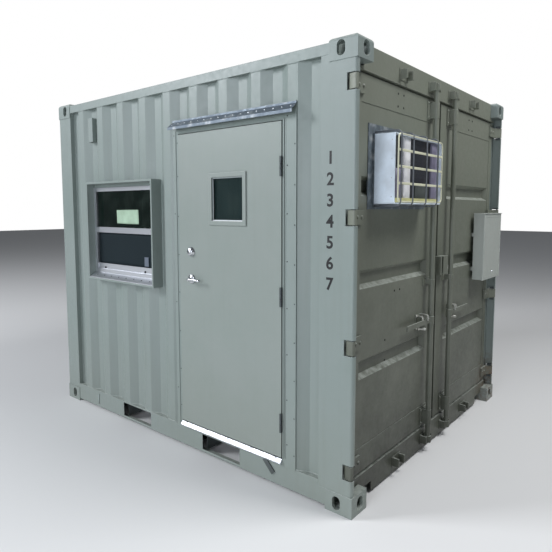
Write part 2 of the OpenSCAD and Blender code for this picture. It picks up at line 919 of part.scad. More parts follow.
module cabin_door() {
    lite = [lite_width - 2 * lite_frame + 20, lite_height - 2 * lite_frame + 20];
    color(painted) near_side() difference() {
        block([door_free_x, door_face - door_thickness, door_base],
              [door_hinge_x, door_face, door_top]);
        translate([door_middle + 14, 0, lite_z])
            block([-lite[0] / 2, door_face - door_thickness - over, -lite[1] / 2],
                  [lite[0] / 2, door_face + over, lite[1] / 2]);
    }
}

module door_window_frame() {
    color(painted) near_side() translate([door_middle + 14, 0, lite_z])
        for (face = [door_face, door_face - door_thickness - 9])
            side_ring(-lite_width / 2, lite_width / 2, -lite_height / 2, lite_height / 2,
                      lite_frame, face, face + 9);
}

module door_window_glass() {
    size = [lite_width - 2 * lite_frame + 20, lite_height - 2 * lite_frame + 20];
    middle = door_face - door_thickness / 2;
    color(pane) near_side() translate([door_middle + 14, 0, lite_z])
        block([-size[0] / 2, middle - glass, -size[1] / 2], [size[0] / 2, middle + glass, size[1] / 2]);
}

module door_hardware() {
    x = door_free_x + backset;
    rose = 33;
    color(zinc) near_side() {
        translate([x, door_face, lever_z]) rotate([-90, 0, 0]) cylinder(r = rose, h = 12);
        translate([x, door_face, bolt_z]) rotate([-90, 0, 0]) cylinder(r1 = rose, r2 = 25, h = 22);
        for (z = cabin_hinge_heights()) translate([0, 0, z - knuckle_middle / 2]) difference() {
            union() {
                translate([door_pin_x, door_pin_y, 0]) cylinder(r = knuckle_r, h = knuckle_middle);
                block([door_hinge_x, door_face - 36, 0], [door_pin_x, door_pin_y, knuckle_middle]);
            }
            translate([door_pin_x, door_pin_y, -over])
                cylinder(r = door_pin_r + 0.1, h = knuckle_middle + 2 * over);
        }
    }
}

module door_lever() {
    x = door_free_x + backset;
    neck = 40;
    color(zinc) near_side() {
        translate([x, door_face + 12.3, lever_z]) rotate([-90, 0, 0]) cylinder(r = 11, h = neck);
        translate([x, door_face + neck, lever_z - 9])
            cube([lever_length - 9, 14, 18]);
        translate([x + lever_length - 9, door_face + neck, lever_z]) rotate([-90, 0, 0])
            cylinder(r = 9, h = 14);
    }
}

// ---- cargo doors ------------------------------------------------------------------
// Every leaf piece is drawn for the right leaf, on the +Y side.

module leaf_frame() {
    block([leaf_back, middle_gap, leaf_low], [leaf_face, panel_in, leaf_high]);
    block([leaf_back, panel_out, leaf_low], [leaf_face, leaf_outer, leaf_high]);
    block([leaf_back, panel_in, leaf_low], [leaf_face, panel_out, panel_low]);
    block([leaf_back, panel_in, panel_high], [leaf_face, panel_out, leaf_high]);
    for (z = hinge_heights()) translate([0, 0, z - hinge_height / 2]) difference() {
        linear_extrude(hinge_height) {
            translate([pin_x, pin_y]) circle(hinge_r);
            polygon([
                [leaf_face, pin_y - 4], [leaf_face + blade, pin_y + 8], [pin_x - 4, pin_y + hinge_r - 1],
                [pin_x + 8, pin_y - hinge_r + 3], [leaf_face + blade, pin_y - 44],
                [leaf_face + blade, pin_y - blade_length], [leaf_face, pin_y - blade_length]]);
        }
        translate([pin_x, pin_y, -over]) cylinder(r = pin_r + 0.1, h = hinge_height + 2 * over);
    }
}

// A pressed channel: a tray with sloped sides, drawn from its mouth inwards
module tray(low_y, high_y, z, high, deep, mouth) {
    draft = 22;
    x0 = mouth;
    x1 = mouth - deep;
    polyhedron(
        points = [
            [x0, low_y, z - high / 2], [x0, high_y, z - high / 2],
            [x0, high_y, z + high / 2], [x0, low_y, z + high / 2],
            [x1, low_y + draft, z - high / 2 + draft], [x1, high_y - draft, z - high / 2 + draft],
            [x1, high_y - draft, z + high / 2 - draft], [x1, low_y + draft, z + high / 2 - draft]],
        faces = [[0, 3, 2, 1], [4, 5, 6, 7], [0, 1, 5, 4], [1, 2, 6, 5], [2, 3, 7, 6], [3, 0, 4, 7]]);
}

module leaf_panel(opening) {
    face = panel_face;
    low_y = panel_in + channel_inset;
    high_y = panel_out - 12;
    difference() {
        union() {
            block([face - leaf_sheet, panel_in, panel_low], [face, panel_out, panel_high]);
            for (i = [-1:1]) tray(low_y - leaf_sheet, high_y + leaf_sheet, channel_z + i * channel_pitch,
                                  channel_height + 2 * leaf_sheet, channel_depth + leaf_sheet,
                                  face - leaf_sheet + 0.5);
        }
        for (i = [-1:1]) tray(low_y, high_y, channel_z + i * channel_pitch,
                              channel_height, channel_depth, face);
        for (i = [-1:1]) tray(low_y, high_y, channel_z + i * channel_pitch,
                              channel_height, 0.6 * leaf_sheet, face + 0.5 * leaf_sheet);
        if (opening)
            block([leaf_back - over, ac_y - ac_width / 2 - 2, ac_z - ac_height / 2 - 2],
                  [leaf_face + over, ac_y + ac_width / 2 + 2, ac_z + ac_height / 2 + 2]);
    }
}

module leaf_gasket() {
    x = leaf_back + 6;
    deep = 16;
    difference() {
        block([x, middle_gap - gasket, leaf_low - gasket],
              [x + deep, leaf_outer + gasket, leaf_high + gasket]);
        block([x - over, middle_gap, leaf_low], [x + deep + over, leaf_outer, leaf_high]);
    }
}

// A bearing bracket that holds the rod
module rod_bracket(z, high, base) {
    wide = 106;
    bore = rod_r + 0.3;
    difference() {
        union() {
            block([base, rod_y - wide / 2, z - high / 2], [base + 8, rod_y + wide / 2, z + high / 2]);
            block([base, rod_y - rod_r - 7, z - high / 2 + 8],
                  [rod_x, rod_y + rod_r + 3.5, z + high / 2 - 8]);
            translate([rod_x, rod_y, z - high / 2 + 8])
                cylinder(r = rod_r + 3.5, h = high - 16);
        }
        translate([rod_x, rod_y, z - high / 2 - over]) cylinder(r = bore, h = high + 2 * over);
    }
}

module leaf_fittings(box_reach) {
    box_low = channel_z - lock_box_height / 2 - 4;
    box_high = box_low + lock_box_height;
    box_plate = 5;
    rod_bracket(leaf_high - 76, 120, leaf_face);
    rod_bracket(leaf_low + 76, 120, leaf_face);
    rod_bracket(channel_z - 100, 52, panel_face);
    // half of the lock box, open underneath and at the middle of the doors
    difference() {
        block([leaf_face, middle_gap + 1, box_low],
              [leaf_face + lock_box_depth, middle_gap + box_reach, box_high]);
        block([leaf_face + box_plate, middle_gap - over, box_low - over],
              [leaf_face + lock_box_depth - box_plate, middle_gap + box_reach - box_plate,
               box_high - box_plate]);
    }
    // catch under the handle
    translate([0, rod_y + catch_y, handle_z]) {
        block([panel_face, -50, -52], [panel_face + 8, 50, 52]);
        block([panel_face + 8, -24, -36], [rod_x - 8, 24, -24]);
    }
}

module lock_rod() {
    low = lower_cam_z - cam_height / 2;
    high = upper_cam_z + cam_height / 2;
    translate([rod_x, rod_y, low]) cylinder(r = rod_r, h = high - low);
    for (z = [lower_cam_z, upper_cam_z]) translate([rod_x, rod_y, z - cam_height / 2])
        linear_extrude(cam_height) {
            circle(rod_r + 4);
            intersection() {
                circle(cam_reach);
                translate([-cam_reach, -12]) square([2 * cam_reach, 24]);
            }
        }
    // hub and flat handle
    translate([rod_x, rod_y, handle_z - 26]) cylinder(r = rod_r + 6, h = 52);
    block([rod_x - 6, rod_y + 10, handle_z - 16], [rod_x + 6, rod_y + handle_length, handle_z + 16]);
}

// ---- air conditioner (drawn on the +Y side like the leaves) --------------------------

module ac_angle_ring() {
    low = [ac_y - ac_width / 2, ac_z - ac_height / 2];
    high = [ac_y + ac_width / 2, ac_z + ac_height / 2];
    wide = ac_angle;
    thick = angle_plate;
    collar = 14;
    clear = 0.3;
    difference() {
        union() {
            block([panel_face, low[0] - wide, low[1] - ac_angle_low],
                  [panel_face + thick, high[0] + wide, high[1] + wide]);
            block([panel_face, low[0] - clear - thick, low[1] - clear - thick],
                  [panel_face + collar, high[0] + clear + thick, high[1] + clear + thick]);
        }
        block([panel_face - over, low[0] - clear, low[1] - clear],
              [panel_face + collar + over, high[0] + clear, high[1] + clear]);
    }
}

module ac_body() {
    low = [ac_y - ac_width / 2, ac_z - ac_height / 2];
    high = [ac_y + ac_width / 2, ac_z + ac_height / 2];
    rim = 8;
    deep = 50;
    front = leaf_face + ac_reach;
    difference() {
        block([leaf_face - ac_inside, low[0], low[1]], [front, high[0], high[1]]);
        block([front - deep, low[0] + rim, low[1] + rim], [front + over, high[0] - rim, high[1] - rim]);
    }
}

// A bent wire from the cabinet's top over its front and back under it
module guard_hoop(y) {
    front = leaf_face + ac_reach + guard_gap;
    low = ac_z - ac_height / 2 - 12;
    high = ac_z + ac_height / 2 + 12;
    back = panel_face + angle_plate;
    translate([front, y, low]) cylinder(r = wire_r, h = high - low);
    for (z = [low, high]) translate([back, y, z]) rotate([0, 90, 0])
        cylinder(r = wire_r, h = front - back);
    for (z = [low, high]) translate([front, y, z]) sphere(wire_r);
}

module guard() {
    front = leaf_face + ac_reach + guard_gap;
    first = ac_y - ac_width / 2 + 20;
    left = first - 26;
    right = ac_y + ac_width / 2 - 50;
    high = ac_z + ac_height / 2 - 12;
    rows = 5;
    for (i = [0:3]) guard_hoop(first + i * hoop_pitch);
    for (y = [left, right]) translate([front, y, high - ac_height + 24])
        cylinder(r = wire_r, h = ac_height - 24);
    for (i = [0:rows - 1]) translate([front, left, high - i * (ac_height - 24) / (rows - 1)])
        rotate([-90, 0, 0]) cylinder(r = wire_r, h = right - left);
}

// ---- power box -------------------------------------------------------------------

module power_box() {
    lip = 7;
    low_y = box_y - box_width / 2;
    high_y = box_y + box_width / 2;
    top = box_z + box_height;
    back = leaf_face + blade + box_standoff;
    color([0.5, 0.53, 0.54]) {
        for (z = [box_z + 70, box_z + 350]) {
            block([panel_face, low_y + 20, z], [back, panel_out, z + box_strut]);
            block([leaf_face, panel_out, z], [back, high_y - 16, z + box_strut]);
        }
        block([back, low_y, box_z], [leaf_face + box_depth - 14, high_y, top]);
        block([leaf_face + box_depth - 14, low_y - 3, box_z - 3],
              [leaf_face + box_depth, high_y + 3, top]);
        block([back, low_y - lip, top], [leaf_face + box_depth + lip, high_y + lip, top + 5]);
    }
}

module left_leaf_frame() color(shaded) near_side() leaf_frame();
module left_leaf_panel() color(shaded) near_side() leaf_panel(true);
module left_leaf_gasket() color(black) near_side() leaf_gasket();
module left_leaf_fittings() color(shaded) near_side() leaf_fittings(lock_box_lip);
module left_lock_rod() color(shaded) near_side() lock_rod();
module ac_mounting_angle() color(zinc) near_side() ac_angle_ring();
module ac_cabinet() color(white) near_side() ac_body();
module ac_guard() color([0.85, 0.82, 0.74]) near_side() guard();
module right_leaf_frame() color(shaded) leaf_frame();
module right_leaf_panel() color(shaded) leaf_panel(false);
module right_leaf_gasket() color(black) leaf_gasket();
module right_leaf_fittings() color(shaded) leaf_fittings(lock_box_reach);
module right_lock_rod() color(shaded) lock_rod();

bottom_corner_castings();
top_corner_castings();
cargo_end_posts();
blind_end_frame();
top_side_rails();
bottom_side_rails();
cargo_end_header();
cargo_end_sill();
roof_panel();
window_wall();
wall_over_door();
wall_beside_door();
plain_side_wall();
blind_end_wall();
cross_members();
fork_pockets();
floor_boards();
door_frame();
drip_cap();
threshold();
window_surround();
window_frame();
window_glass();
wall_vents();
keepers();
hinge_pins();
cabin_door();
door_window_frame();
door_window_glass();
door_hardware();
door_lever();
left_leaf_frame();
left_leaf_panel();
left_leaf_gasket();
left_leaf_fittings();
left_lock_rod();
ac_mounting_angle();
ac_cabinet();
ac_guard();
right_leaf_frame();
right_leaf_panel();
right_leaf_gasket();
right_leaf_fittings();
right_lock_rod();
power_box();
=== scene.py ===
"""Looks of a shipping container cabin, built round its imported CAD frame.

Every length is in metres, in the frame of the CAD part: +X towards the cargo doors, -Y towards the
side with the cabin door and the window, +Z up, with the ground at z = 0.
"""

import json
import logging
import math
from dataclasses import dataclass, field
from enum import Enum
from typing import Dict, List, Optional, Sequence, Tuple

import bmesh
import bpy
import numpy as np
from mathutils import Matrix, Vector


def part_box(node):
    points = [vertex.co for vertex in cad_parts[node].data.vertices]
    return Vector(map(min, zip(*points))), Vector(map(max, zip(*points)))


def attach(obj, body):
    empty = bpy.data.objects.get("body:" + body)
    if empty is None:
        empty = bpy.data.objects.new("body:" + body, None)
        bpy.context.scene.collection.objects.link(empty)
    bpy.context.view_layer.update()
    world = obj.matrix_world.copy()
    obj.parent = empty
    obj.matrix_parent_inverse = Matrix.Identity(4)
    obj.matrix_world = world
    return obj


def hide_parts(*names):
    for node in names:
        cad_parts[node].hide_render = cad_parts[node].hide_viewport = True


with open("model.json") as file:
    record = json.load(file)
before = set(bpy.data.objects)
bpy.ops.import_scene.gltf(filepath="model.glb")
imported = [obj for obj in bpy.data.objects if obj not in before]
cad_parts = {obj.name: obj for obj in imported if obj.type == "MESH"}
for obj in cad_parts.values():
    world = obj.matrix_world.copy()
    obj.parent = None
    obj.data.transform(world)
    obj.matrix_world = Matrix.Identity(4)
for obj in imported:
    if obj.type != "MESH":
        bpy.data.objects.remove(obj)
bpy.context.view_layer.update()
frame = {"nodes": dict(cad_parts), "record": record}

log = logging.getLogger("cabin")
Colour = Tuple[float, float, float, float]
Point = Tuple[float, float, float]
MM = 0.001


class Side(Enum):
    """The faces of the container that small parts stand on."""

    DOOR_WALL = (0.0, -1.0, 0.0)
    CARGO_END = (1.0, 0.0, 0.0)
    TOP = (0.0, 0.0, 1.0)


class Leaf(Enum):
    """The two cargo door leaves: body name and the side of the middle line."""

    LEFT = ("left", -1.0)
    RIGHT = ("right", 1.0)


# ---- materials ---------------------------------------------------------------------


def linear(code: str) -> Colour:
    """Turns an sRGB hex colour into the linear values that shaders use.

    Args:
        code: Six hex digits.

    Returns:
        Linear red, green and blue, and an alpha of 1.
    """
    parts = np.array([int(code[i:i + 2], 16) for i in (0, 2, 4)]) / 255.0
    low = parts / 12.92
    high = ((parts + 0.055) / 1.055) ** 2.4
    red, green, blue = np.where(parts <= 0.04045, low, high)
    return float(red), float(green), float(blue), 1.0


def add_node(
    tree: bpy.types.NodeTree,
    kind: str,
    links: Optional[Dict[object, bpy.types.NodeSocket]] = None,
    values: Optional[Dict[object, object]] = None,
    **settings: object,
) -> bpy.types.Node:
    """Adds one node, with its settings, socket values and incoming links.

    Args:
        tree: The material's node tree.
        kind: Blender's type name of the node.
        links: Input socket (name or number) to the output that feeds it.
        values: Input socket (name or number) to its constant.
        **settings: Properties of the node itself.

    Returns:
        The node.
    """
    node = tree.nodes.new(kind)
    for key, value in settings.items():
        setattr(node, key, value)
    for key, value in (values or {}).items():
        node.inputs[key].default_value = value
    for key, socket in (links or {}).items():
        tree.links.new(socket, node.inputs[key])
    return node


def ramp(
    tree: bpy.types.NodeTree, source: bpy.types.NodeSocket, low: float, high: float, top: float = 1.0
) -> bpy.types.NodeSocket:
    """Maps source from low..high to 0..top and clamps it.

    Args:
        tree: The material's node tree.
        source: The socket whose value is used.
        low: The source's value that gives 0.
        high: The source's value that gives the top.
        top: The highest result.

    Returns:
        The mapped value.
    """
    node = add_node(
        tree, "ShaderNodeMapRange", {0: source}, {1: low, 2: high, 3: 0.0, 4: top}, clamp=True
    )
    return node.outputs[0]


def blend_colours(
    tree: bpy.types.NodeTree,
    amount: bpy.types.NodeSocket,
    base: object,
    over: str,
    mode: str = "MIX",
) -> bpy.types.NodeSocket:
    """Lays the colour over on a base, which is a socket or a hex colour, by the amount.

    Args:
        tree: The material's node tree.
        amount: How much of the colour over lies on the base, 0 to 1.
        base: The colour below, a socket or a hex colour.
        over: The hex colour laid over it.
        mode: How the two colours mix.

    Returns:
        The mixed colour.
    """
    node = add_node(
        tree, "ShaderNodeMix", {0: amount}, {7: linear(over)}, data_type="RGBA", blend_type=mode
    )
    if isinstance(base, str):
        node.inputs[6].default_value = linear(base)
    else:
        tree.links.new(base, node.inputs[6])
    return node.outputs[2]


@dataclass(frozen=True)
class Finish:
    """A finish with one principled shader; its pattern is added by the subclasses."""

    name: str
    colour: str
    roughness: float = 0.5
    metallic: float = 0.0
    slot: str = "painted_steel"

    def material(self) -> bpy.types.Material:
        """The material, made on first use."""
        known = bpy.data.materials.get(self.name)
        if known is not None:
            return known
        made = bpy.data.materials.new(self.name)
        made.use_nodes = True
        tree = made.node_tree
        shader = tree.nodes["Principled BSDF"]
        shader.inputs["Base Color"].default_value = linear(self.colour)
        shader.inputs["Roughness"].default_value = self.roughness
        shader.inputs["Metallic"].default_value = self.metallic
        place = add_node(tree, "ShaderNodeTexCoord").outputs["Object"]
        self.pattern(tree, shader, place)
        return made

    def pattern(
        self, tree: bpy.types.NodeTree, shader: bpy.types.Node, place: bpy.types.NodeSocket
    ) -> None:
        """A faint cloud in colour and gloss, which every worn surface has.

        Args:
            tree: The material's node tree.
            shader: The principled shader of the finish.
            place: Object coordinates, in metres.
        """
        cloud = add_node(
            tree, "ShaderNodeTexNoise", {"Vector": place}, {"Scale": 9.0, "Detail": 4.0}
        ).outputs[0]
        tint = blend_colours(tree, ramp(tree, cloud, 0.35, 0.7, 0.35), self.colour, "8c8880", "MULTIPLY")
        tree.links.new(tint, shader.inputs["Base Color"])
        self.vary_gloss(tree, shader, cloud, 0.12)

    def vary_gloss(
        self, tree: bpy.types.NodeTree, shader: bpy.types.Node, source: bpy.types.NodeSocket, spread: float
    ) -> None:
        """Lets the roughness wander by plus or minus the spread.

        Args:
            tree: The material's node tree.
            shader: The principled shader of the finish.
            source: The socket whose value is used.
            spread: How far the roughness wanders to either side.
        """
        gloss = add_node(
            tree,
            "ShaderNodeMapRange",
            {0: source},
            {1: 0.3, 2: 0.7, 3: self.roughness - spread, 4: self.roughness + spread},
        )
        tree.links.new(gloss.outputs[0], shader.inputs["Roughness"])

    def relief(
        self,
        tree: bpy.types.NodeTree,
        shader: bpy.types.Node,
        layers: Sequence[Tuple[bpy.types.NodeSocket, float]],
    ) -> None:
        """Stacks height layers, each with its depth in metres, into the shader's normal.

        Args:
            tree: The material's node tree.
            shader: The principled shader of the finish.
            layers: Height sockets, each with its depth in metres.
        """
        previous = None
        for height, depth in layers:
            links = {"Height": height}
            if previous is not None:
                links["Normal"] = previous
            previous = add_node(
                tree, "ShaderNodeBump", links, {"Strength": 1.0, "Distance": depth}
            ).outputs[0]
        tree.links.new(previous, shader.inputs["Normal"])


@dataclass(frozen=True)
class Plain(Finish):
    """An even, matt finish with no pattern, for the studio floor only."""

    def pattern(
        self, tree: bpy.types.NodeTree, shader: bpy.types.Node, place: bpy.types.NodeSocket
    ) -> None:
        """Leaves the shader even."""


@dataclass(frozen=True)
class MarinePaint(Finish):
    """Sprayed alkyd paint over steel plate.

    The eye gets a satin sheen broken by orange peel and slightly wavy plate, faint runs of dirt down the
    wall, a tint towards the foot that is road dust on the walls and painted shade on the cargo end, rust
    freckles where the coat has chipped, and paler up-facing faces from settled dust and painted light.
    """

    dirt: float = 0.5
    rust: float = 0.4
    # Tint towards the foot, how high it reaches and how strong it is at the ground: road dust on the walls,
    # painted shade on the cargo end.
    dust: str = "8a7d68"
    foot_dust_and_shade_top: float = 0.75
    foot_dust_and_shade_most: float = 0.2
    # How much paler up-facing faces get: settled dust together with painted light from above.
    ledge_dust_and_light: float = 0.5
    stain: Tuple[float, float, float] = (1.46, 1.20, 0.12)
    stain_reach: float = 0.34
    peel_mm: float = 6.0
    wave_mm: float = 420.0

    def pattern(
        self, tree: bpy.types.NodeTree, shader: bpy.types.Node, place: bpy.types.NodeSocket
    ) -> None:
        """Clouds, runs, foot tint (dust, and painted shade on the end), freckles, paler ledges (dust,
        painted light), relief.

        Args:
            tree: The material's node tree.
            shader: The principled shader of the finish.
            place: Object coordinates, in metres.
        """
        cloud = add_node(
            tree, "ShaderNodeTexNoise", {"Vector": place}, {"Scale": 1.9, "Detail": 5.0, "Roughness": 0.6}
        ).outputs[0]
        runs_place = add_node(
            tree, "ShaderNodeMapping", {"Vector": place}, {"Scale": (26.0, 26.0, 1.1)}
        ).outputs[0]
        runs = add_node(
            tree, "ShaderNodeTexNoise", {"Vector": runs_place}, {
                "Scale": 1.0, "Detail": 4.0, "Roughness": 0.65
            }
        ).outputs[0]
        colour = blend_colours(tree, ramp(tree, cloud, 0.4, 0.75, 0.5), self.colour, "a9b0ac", "SOFT_LIGHT")
        colour = blend_colours(tree, ramp(tree, runs, 0.5, 0.78, 0.34 * self.dirt), colour, "5d5c50")
        height = add_node(tree, "ShaderNodeSeparateXYZ", {0: place}).outputs["Z"]
        # Tint towards the foot: road dust on the walls, painted shade on the cargo end.
        low_down = ramp(tree, height, self.foot_dust_and_shade_top, 0.0, self.foot_dust_and_shade_most)
        foot_dust_and_shade = add_node(tree, "ShaderNodeMath", {0: low_down, 1: cloud}, operation="MULTIPLY").outputs[0]
        colour = blend_colours(tree, foot_dust_and_shade, colour, self.dust)
        chips = add_node(
            tree, "ShaderNodeTexNoise", {"Vector": place}, {"Scale": 34.0, "Detail": 6.0, "Roughness": 0.7}
        ).outputs[0]
        where = ramp(tree, cloud, 0.5, 0.62)
        chipped = add_node(
            tree, "ShaderNodeMath", {
                0: ramp(tree, chips, 0.665, 0.7, self.rust), 1: where
            }, operation="MULTIPLY"
        ).outputs[0]
        colour = blend_colours(tree, chipped, colour, "6a4a35")
        away = add_node(
            tree, "ShaderNodeVectorMath", {0: place}, {1: self.stain}, operation="DISTANCE"
        ).outputs["Value"]
        near = ramp(tree, away, self.stain_reach, 0.1)
        stained = add_node(
            tree, "ShaderNodeMath", {0: near, 1: ramp(tree, chips, 0.42, 0.6, 0.75)}, operation="MULTIPLY"
        ).outputs[0]
        colour = blend_colours(tree, stained, colour, "5e4430")
        # Up-facing faces made paler where the runs are light: settled dust together with painted light from
        # above.
        normal = add_node(tree, "ShaderNodeNewGeometry").outputs["Normal"]
        upward = add_node(tree, "ShaderNodeSeparateXYZ", {0: normal}).outputs["Z"]
        dusty_and_lit_ledges = add_node(
            tree, "ShaderNodeMath", {
                0: ramp(tree, upward, 0.25, 0.6, self.ledge_dust_and_light), 1: ramp(tree, runs, 0.3, 0.6)
            },
            operation="MULTIPLY",
        ).outputs[0]
        colour = blend_colours(tree, dusty_and_lit_ledges, colour, "b3b9b2")
        tree.links.new(colour, shader.inputs["Base Color"])
        self.vary_gloss(tree, shader, chips, 0.09)
        peel = add_node(
            tree, "ShaderNodeTexNoise", {"Vector": place}, {
                "Scale": 1.0 / (self.peel_mm * MM), "Detail": 2.0
            }
        ).outputs[0]
        wave = add_node(
            tree, "ShaderNodeTexNoise", {"Vector": place}, {
                "Scale": 1.0 / (self.wave_mm * MM), "Detail": 1.0
            }
        ).outputs[0]
        self.relief(tree, shader, [(wave, 3.0 * MM), (peel, 0.2 * MM)])


@dataclass(frozen=True)
class Zinc(Finish):
    """Hot dip galvanised sheet: a blue grey metal with crystals, called spangle, about 18 mm across."""

    spangle_mm: float = 18.0

    def pattern(
        self, tree: bpy.types.NodeTree, shader: bpy.types.Node, place: bpy.types.NodeSocket
    ) -> None:
        """Cells of slightly different grey and gloss, with white stain between them.

        Args:
            tree: The material's node tree.
            shader: The principled shader of the finish.
            place: Object coordinates, in metres.
        """
        cell = add_node(
            tree, "ShaderNodeTexVoronoi", {"Vector": place}, {"Scale": 1.0 / (self.spangle_mm * MM)}
        )
        tone = add_node(tree, "ShaderNodeSeparateColor", {0: cell.outputs["Color"]}).outputs[0]
        colour = blend_colours(tree, ramp(tree, tone, 0.0, 1.0, 0.45), self.colour, "7e8994")
        stain = add_node(
            tree, "ShaderNodeTexNoise", {"Vector": place}, {"Scale": 14.0, "Detail": 5.0}
        ).outputs[0]
        colour = blend_colours(tree, ramp(tree, stain, 0.55, 0.75, 0.5), colour, "d5d8d6")
        tree.links.new(colour, shader.inputs["Base Color"])
        self.vary_gloss(tree, shader, tone, 0.12)
        self.relief(tree, shader, [(stain, 0.6 * MM)])


@dataclass(frozen=True)
class MillAluminium(Finish):
    """Extruded aluminium as it left the mill, with die lines along the bar.

    The lines are drawn 3 mm apart, coarser than the real ones, so that they show.
    """

    def pattern(
        self, tree: bpy.types.NodeTree, shader: bpy.types.Node, place: bpy.types.NodeSocket
    ) -> None:
        """Die lines along the bar and cloudy oxide.

        Args:
            tree: The material's node tree.
            shader: The principled shader of the finish.
            place: Object coordinates, in metres.
        """
        lines_place = add_node(
            tree, "ShaderNodeMapping", {"Vector": place}, {"Scale": (2.0, 330.0, 330.0)}
        ).outputs[0]
        lines = add_node(tree, "ShaderNodeTexNoise", {"Vector": lines_place}, {"Scale": 1.0}).outputs[0]
        oxide = add_node(
            tree, "ShaderNodeTexNoise", {"Vector": place}, {"Scale": 22.0, "Detail": 4.0}
        ).outputs[0]
        colour = blend_colours(tree, ramp(tree, oxide, 0.45, 0.75, 0.5), self.colour, "8f949c")
        tree.links.new(colour, shader.inputs["Base Color"])
        self.vary_gloss(tree, shader, lines, 0.1)
        self.relief(tree, shader, [(lines, 0.12 * MM)])


@dataclass(frozen=True)
class FloatGlass(Finish):
    """Float glass with dust on the outside; its dark, partly see-through colour is painted shade of the
    unlit cabin behind it.
    """

    alpha: float = 0.72

    def pattern(
        self, tree: bpy.types.NodeTree, shader: bpy.types.Node, place: bpy.types.NodeSocket
    ) -> None:
        """A dust film, and a see-through coat of even strength.

        Args:
            tree: The material's node tree.
            shader: The principled shader of the finish.
            place: Object coordinates, in metres.
        """
        dust = add_node(
            tree, "ShaderNodeTexNoise", {"Vector": place}, {"Scale": 7.0, "Detail": 6.0}
        ).outputs[0]
        colour = blend_colours(tree, ramp(tree, dust, 0.5, 0.8, 0.1), self.colour, "66716a")
        tree.links.new(colour, shader.inputs["Base Color"])
        self.vary_gloss(tree, shader, dust, 0.03)
        shader.inputs["Alpha"].default_value = self.alpha
        shader.inputs["IOR"].default_value = 1.52


@dataclass(frozen=True)
class Screen(Finish):
    """Fibreglass insect screen: threads about 1.5 mm apart, drawn 6 mm apart so that they show."""

    thread_mm: float = 6.0

    def pattern(
        self, tree: bpy.types.NodeTree, shader: bpy.types.Node, place: bpy.types.NodeSocket
    ) -> None:
        """Threads both ways, and faint light seen through the holes.

        Args:
            tree: The material's node tree.
            shader: The principled shader of the finish.
            place: Object coordinates, in metres.
        """
        step = 2.0 * math.pi / (self.thread_mm * MM)
        apart = add_node(tree, "ShaderNodeSeparateXYZ", {0: place})
        waves = []
        for axis in ("X", "Z"):
            turned = add_node(
                tree, "ShaderNodeMath", {0: apart.outputs[axis]}, {1: step}, operation="MULTIPLY"
            ).outputs[0]
            waves.append(add_node(tree, "ShaderNodeMath", {0: turned}, operation="SINE").outputs[0])
        mesh = add_node(tree, "ShaderNodeMath", {0: waves[0], 1: waves[1]}, operation="MAXIMUM").outputs[0]
        shade = add_node(
            tree, "ShaderNodeTexNoise", {"Vector": place}, {"Scale": 5.0, "Detail": 2.0}
        ).outputs[0]
        colour = blend_colours(tree, ramp(tree, mesh, 0.2, 1.0, 0.6), self.colour, "232e33")
        colour = blend_colours(tree, ramp(tree, shade, 0.4, 0.7, 0.5), colour, "1b2529")
        shader.inputs["Specular IOR Level"].default_value = 0.12
        tree.links.new(colour, shader.inputs["Base Color"])


@dataclass(frozen=True)
class Plywood(Finish):
    """Oiled marine plywood: long grain, about 9 mm between its bands, along the container."""

    def pattern(
        self, tree: bpy.types.NodeTree, shader: bpy.types.Node, place: bpy.types.NodeSocket
    ) -> None:
        """Stretched grain with boards 240 mm wide.

        Args:
            tree: The material's node tree.
            shader: The principled shader of the finish.
            place: Object coordinates, in metres.
        """
        grain_place = add_node(
            tree, "ShaderNodeMapping", {"Vector": place}, {"Scale": (3.0, 110.0, 110.0)}
        ).outputs[0]
        grain = add_node(
            tree, "ShaderNodeTexNoise", {"Vector": grain_place}, {"Scale": 1.0, "Detail": 6.0}
        ).outputs[0]
        colour = blend_colours(tree, ramp(tree, grain, 0.35, 0.7), self.colour, "5a3f26")
        tree.links.new(colour, shader.inputs["Base Color"])
        self.vary_gloss(tree, shader, grain, 0.1)
        self.relief(tree, shader, [(grain, 0.4 * MM)])


@dataclass(frozen=True)
class Fins(Finish):
    """Condenser coil: thin upright aluminium fins, 4 mm apart so that they show, over tubes; the dark
    between and behind the fins is painted shade deep in the coil.
    """

    def pattern(
        self, tree: bpy.types.NodeTree, shader: bpy.types.Node, place: bpy.types.NodeSocket
    ) -> None:
        """Upright fins across Y and tube rows across Z; the dark between them is painted shade, with dust on
        it.

        Args:
            tree: The material's node tree.
            shader: The principled shader of the finish.
            place: Object coordinates, in metres.
        """
        apart = add_node(tree, "ShaderNodeSeparateXYZ", {0: place})
        layers = []
        for axis, gap in (("Y", 4.0), ("Z", 25.0)):
            turned = add_node(
                tree, "ShaderNodeMath", {0: apart.outputs[axis]}, {
                    1: 2.0 * math.pi / (gap * MM)
                }, operation="MULTIPLY"
            ).outputs[0]
            layers.append(add_node(tree, "ShaderNodeMath", {0: turned}, operation="SINE").outputs[0])
        colour = blend_colours(tree, ramp(tree, layers[0], 0.1, 1.0, 0.55), self.colour, "4c505c")
        colour = blend_colours(tree, ramp(tree, layers[1], 0.6, 1.0, 0.5), colour, "1a1c22")
        dust = add_node(
            tree, "ShaderNodeTexNoise", {"Vector": place}, {"Scale": 16.0, "Detail": 5.0}
        ).outputs[0]
        colour = blend_colours(tree, ramp(tree, dust, 0.5, 0.8, 0.4), colour, "58564e")
        tree.links.new(colour, shader.inputs["Base Color"])
        self.relief(tree, shader, [(layers[0], 0.8 * MM)])


# The shell: one sprayed coat, weathered evenly, satin with a grey green cast.
WALL_PAINT = MarinePaint("grey_green_marine_paint", "7b8581", 0.46, dirt=0.3, rust=0.2)
# A smoother, newer coat on flat sheet: longer waves and hardly any dirt.
DOOR_PAINT = MarinePaint("grey_green_door_enamel", "808883", 0.42, dirt=0.12, rust=0.05, wave_mm=700.0)
